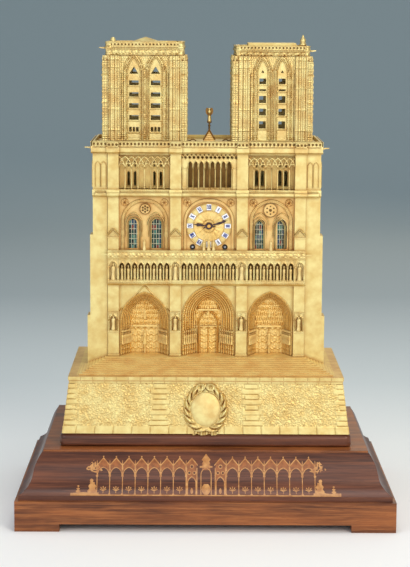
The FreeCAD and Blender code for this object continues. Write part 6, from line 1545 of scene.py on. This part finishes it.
studio = {"focal": 1722.8174, "sensor": 36.0, "pixels": 567, "clip": (0.05, 60), "pitch": 0.1517, "yaw": 0.006,
          "roll": -0.006, "place": (-15.2362, -2302.7642, 649.9855), "air": ("dfe6ec", 0.58), "aim": (0, 0, 0.33),
          # paper: colour ramp of the backdrop, white in front to grey-blue behind and up: painted fall-off of the
          # studio light
          "paper": ((0.0, "f4f4f3"), (0.07, "f4f4f3"), (0.12, "eef1f0"), (0.18, "d0d8d9"), (0.31, "a6b2b6"),
                    (0.60, "9dacb0"), (1.0, "95a5a9")),
          "lights": (("key_light", (1.5, -2.4, 1.7), 1.4, 42, "fff6e8"),
                     ("fill_light", (-2.2, -2.2, 1.2), 2.0, 26, "eef4ff"),
                     ("front_light", (0.2, -3.4, 0.9), 1.6, 14, "ffffff"),
                     ("top_light", (0.2, -0.1, 2.8), 1.6, 24, "ffffff"),
                     ("back_light", (0.7, 2.7, 1.7), 2.4, 12, "ffe8c8"))}


def addObject(name, data):
    thing = bpy.data.objects.new(name, data)
    bpy.context.scene.collection.objects.link(thing)
    return thing


def makeCamera():
    data = bpy.data.cameras.new("camera")
    camera = addObject("camera", data)
    data.sensor_width = studio["sensor"]
    data.lens = studio["focal"] * data.sensor_width / studio["pixels"]
    data.clip_start, data.clip_end = studio["clip"]
    turns = [studio[key] for key in ("pitch", "yaw", "roll")]
    (cp, cy, cr), (sp, sy, sr) = map(math.cos, turns), map(math.sin, turns)
    ahead, right = Vector((sy * cp, cy * cp, -sp)), Vector((cy, -sy, 0))
    down = ahead.cross(right)
    right, down = cr * right + sr * down, cr * down - sr * right
    matrix = Matrix((right, -down, -ahead)).transposed().to_4x4()
    matrix.translation = Vector(studio["place"]) * mm
    camera.matrix_world = matrix
    bpy.context.scene.camera = camera


def paperSweep():  # floor, a quarter bend and an upright wall of paper: white in front, grey-blue behind
    # painted light: the paper darkens with y + z and lightens with x * z, a painted fall-off and a lighter right side
    # high up
    bend = np.linspace(0, pi / 2, 16)[1:]
    y = np.concatenate((np.linspace(-5, 3.0, 24), 3.0 + 2.0 * np.sin(bend), (5.0, 5.0)))
    z = np.concatenate((np.zeros(24), 2.0 - 2.0 * np.cos(bend), (3.5, 6.0)))
    points = np.stack((np.repeat([[-7.0], [7.0]], len(y), 1), np.stack((y, y)), np.stack((z, z))), -1)
    mesh = bpy.data.meshes.new("paper_sweep")
    mesh.from_pydata(points.reshape(-1, 3).tolist(), [], cells(2, len(y)).tolist())
    mesh.polygons.foreach_set("use_smooth", np.ones(len(mesh.polygons), bool))
    material, tree, shader, place = newMaterial("sweep_paper_painted_falloff")
    x, y, z = addNode(tree, "ShaderNodeSeparateXYZ", {0: place}).outputs
    along = addNode(tree, "ShaderNodeMath", {0: y, 1: z}, operation="ADD").outputs[0]
    # painted light: a lighter right side high up
    side = addNode(tree, "ShaderNodeMath", {0: x, 1: z}, operation="MULTIPLY").outputs[0]
    along = addNode(tree, "ShaderNodeMath", {0: side, 1: -0.6, 2: along}, operation="MULTIPLY_ADD").outputs[0]
    setInputs(tree, shader, color=colorRamp(tree, remap(tree, along, -0.6, 7.0), studio["paper"]), rough=0.8)
    mesh.materials.append(material)
    return addObject("paper_sweep", mesh)


def makeStudio():
    bpy.context.scene.view_settings.view_transform = "Standard"
    world = bpy.data.worlds.new("studio_air")
    bpy.context.scene.world = world
    world.use_nodes = True
    air = world.node_tree.nodes["Background"].inputs
    air["Color"].default_value, air["Strength"].default_value = hexColor(studio["air"][0]), studio["air"][1]
    paperSweep()
    for name, where, size, power, tint in studio["lights"]:
        light = bpy.data.lights.new(name, "AREA")
        light.energy, light.size, light.color = power, size, hexColor(tint)[:3]
        lamp = addObject(name, light)
        lamp.location = where
        lamp.rotation_euler = (Vector(studio["aim"]) - Vector(where)).to_track_quat("-Z", "Y").to_euler()
    print("studio made")


makeCamera()
makeStudio()
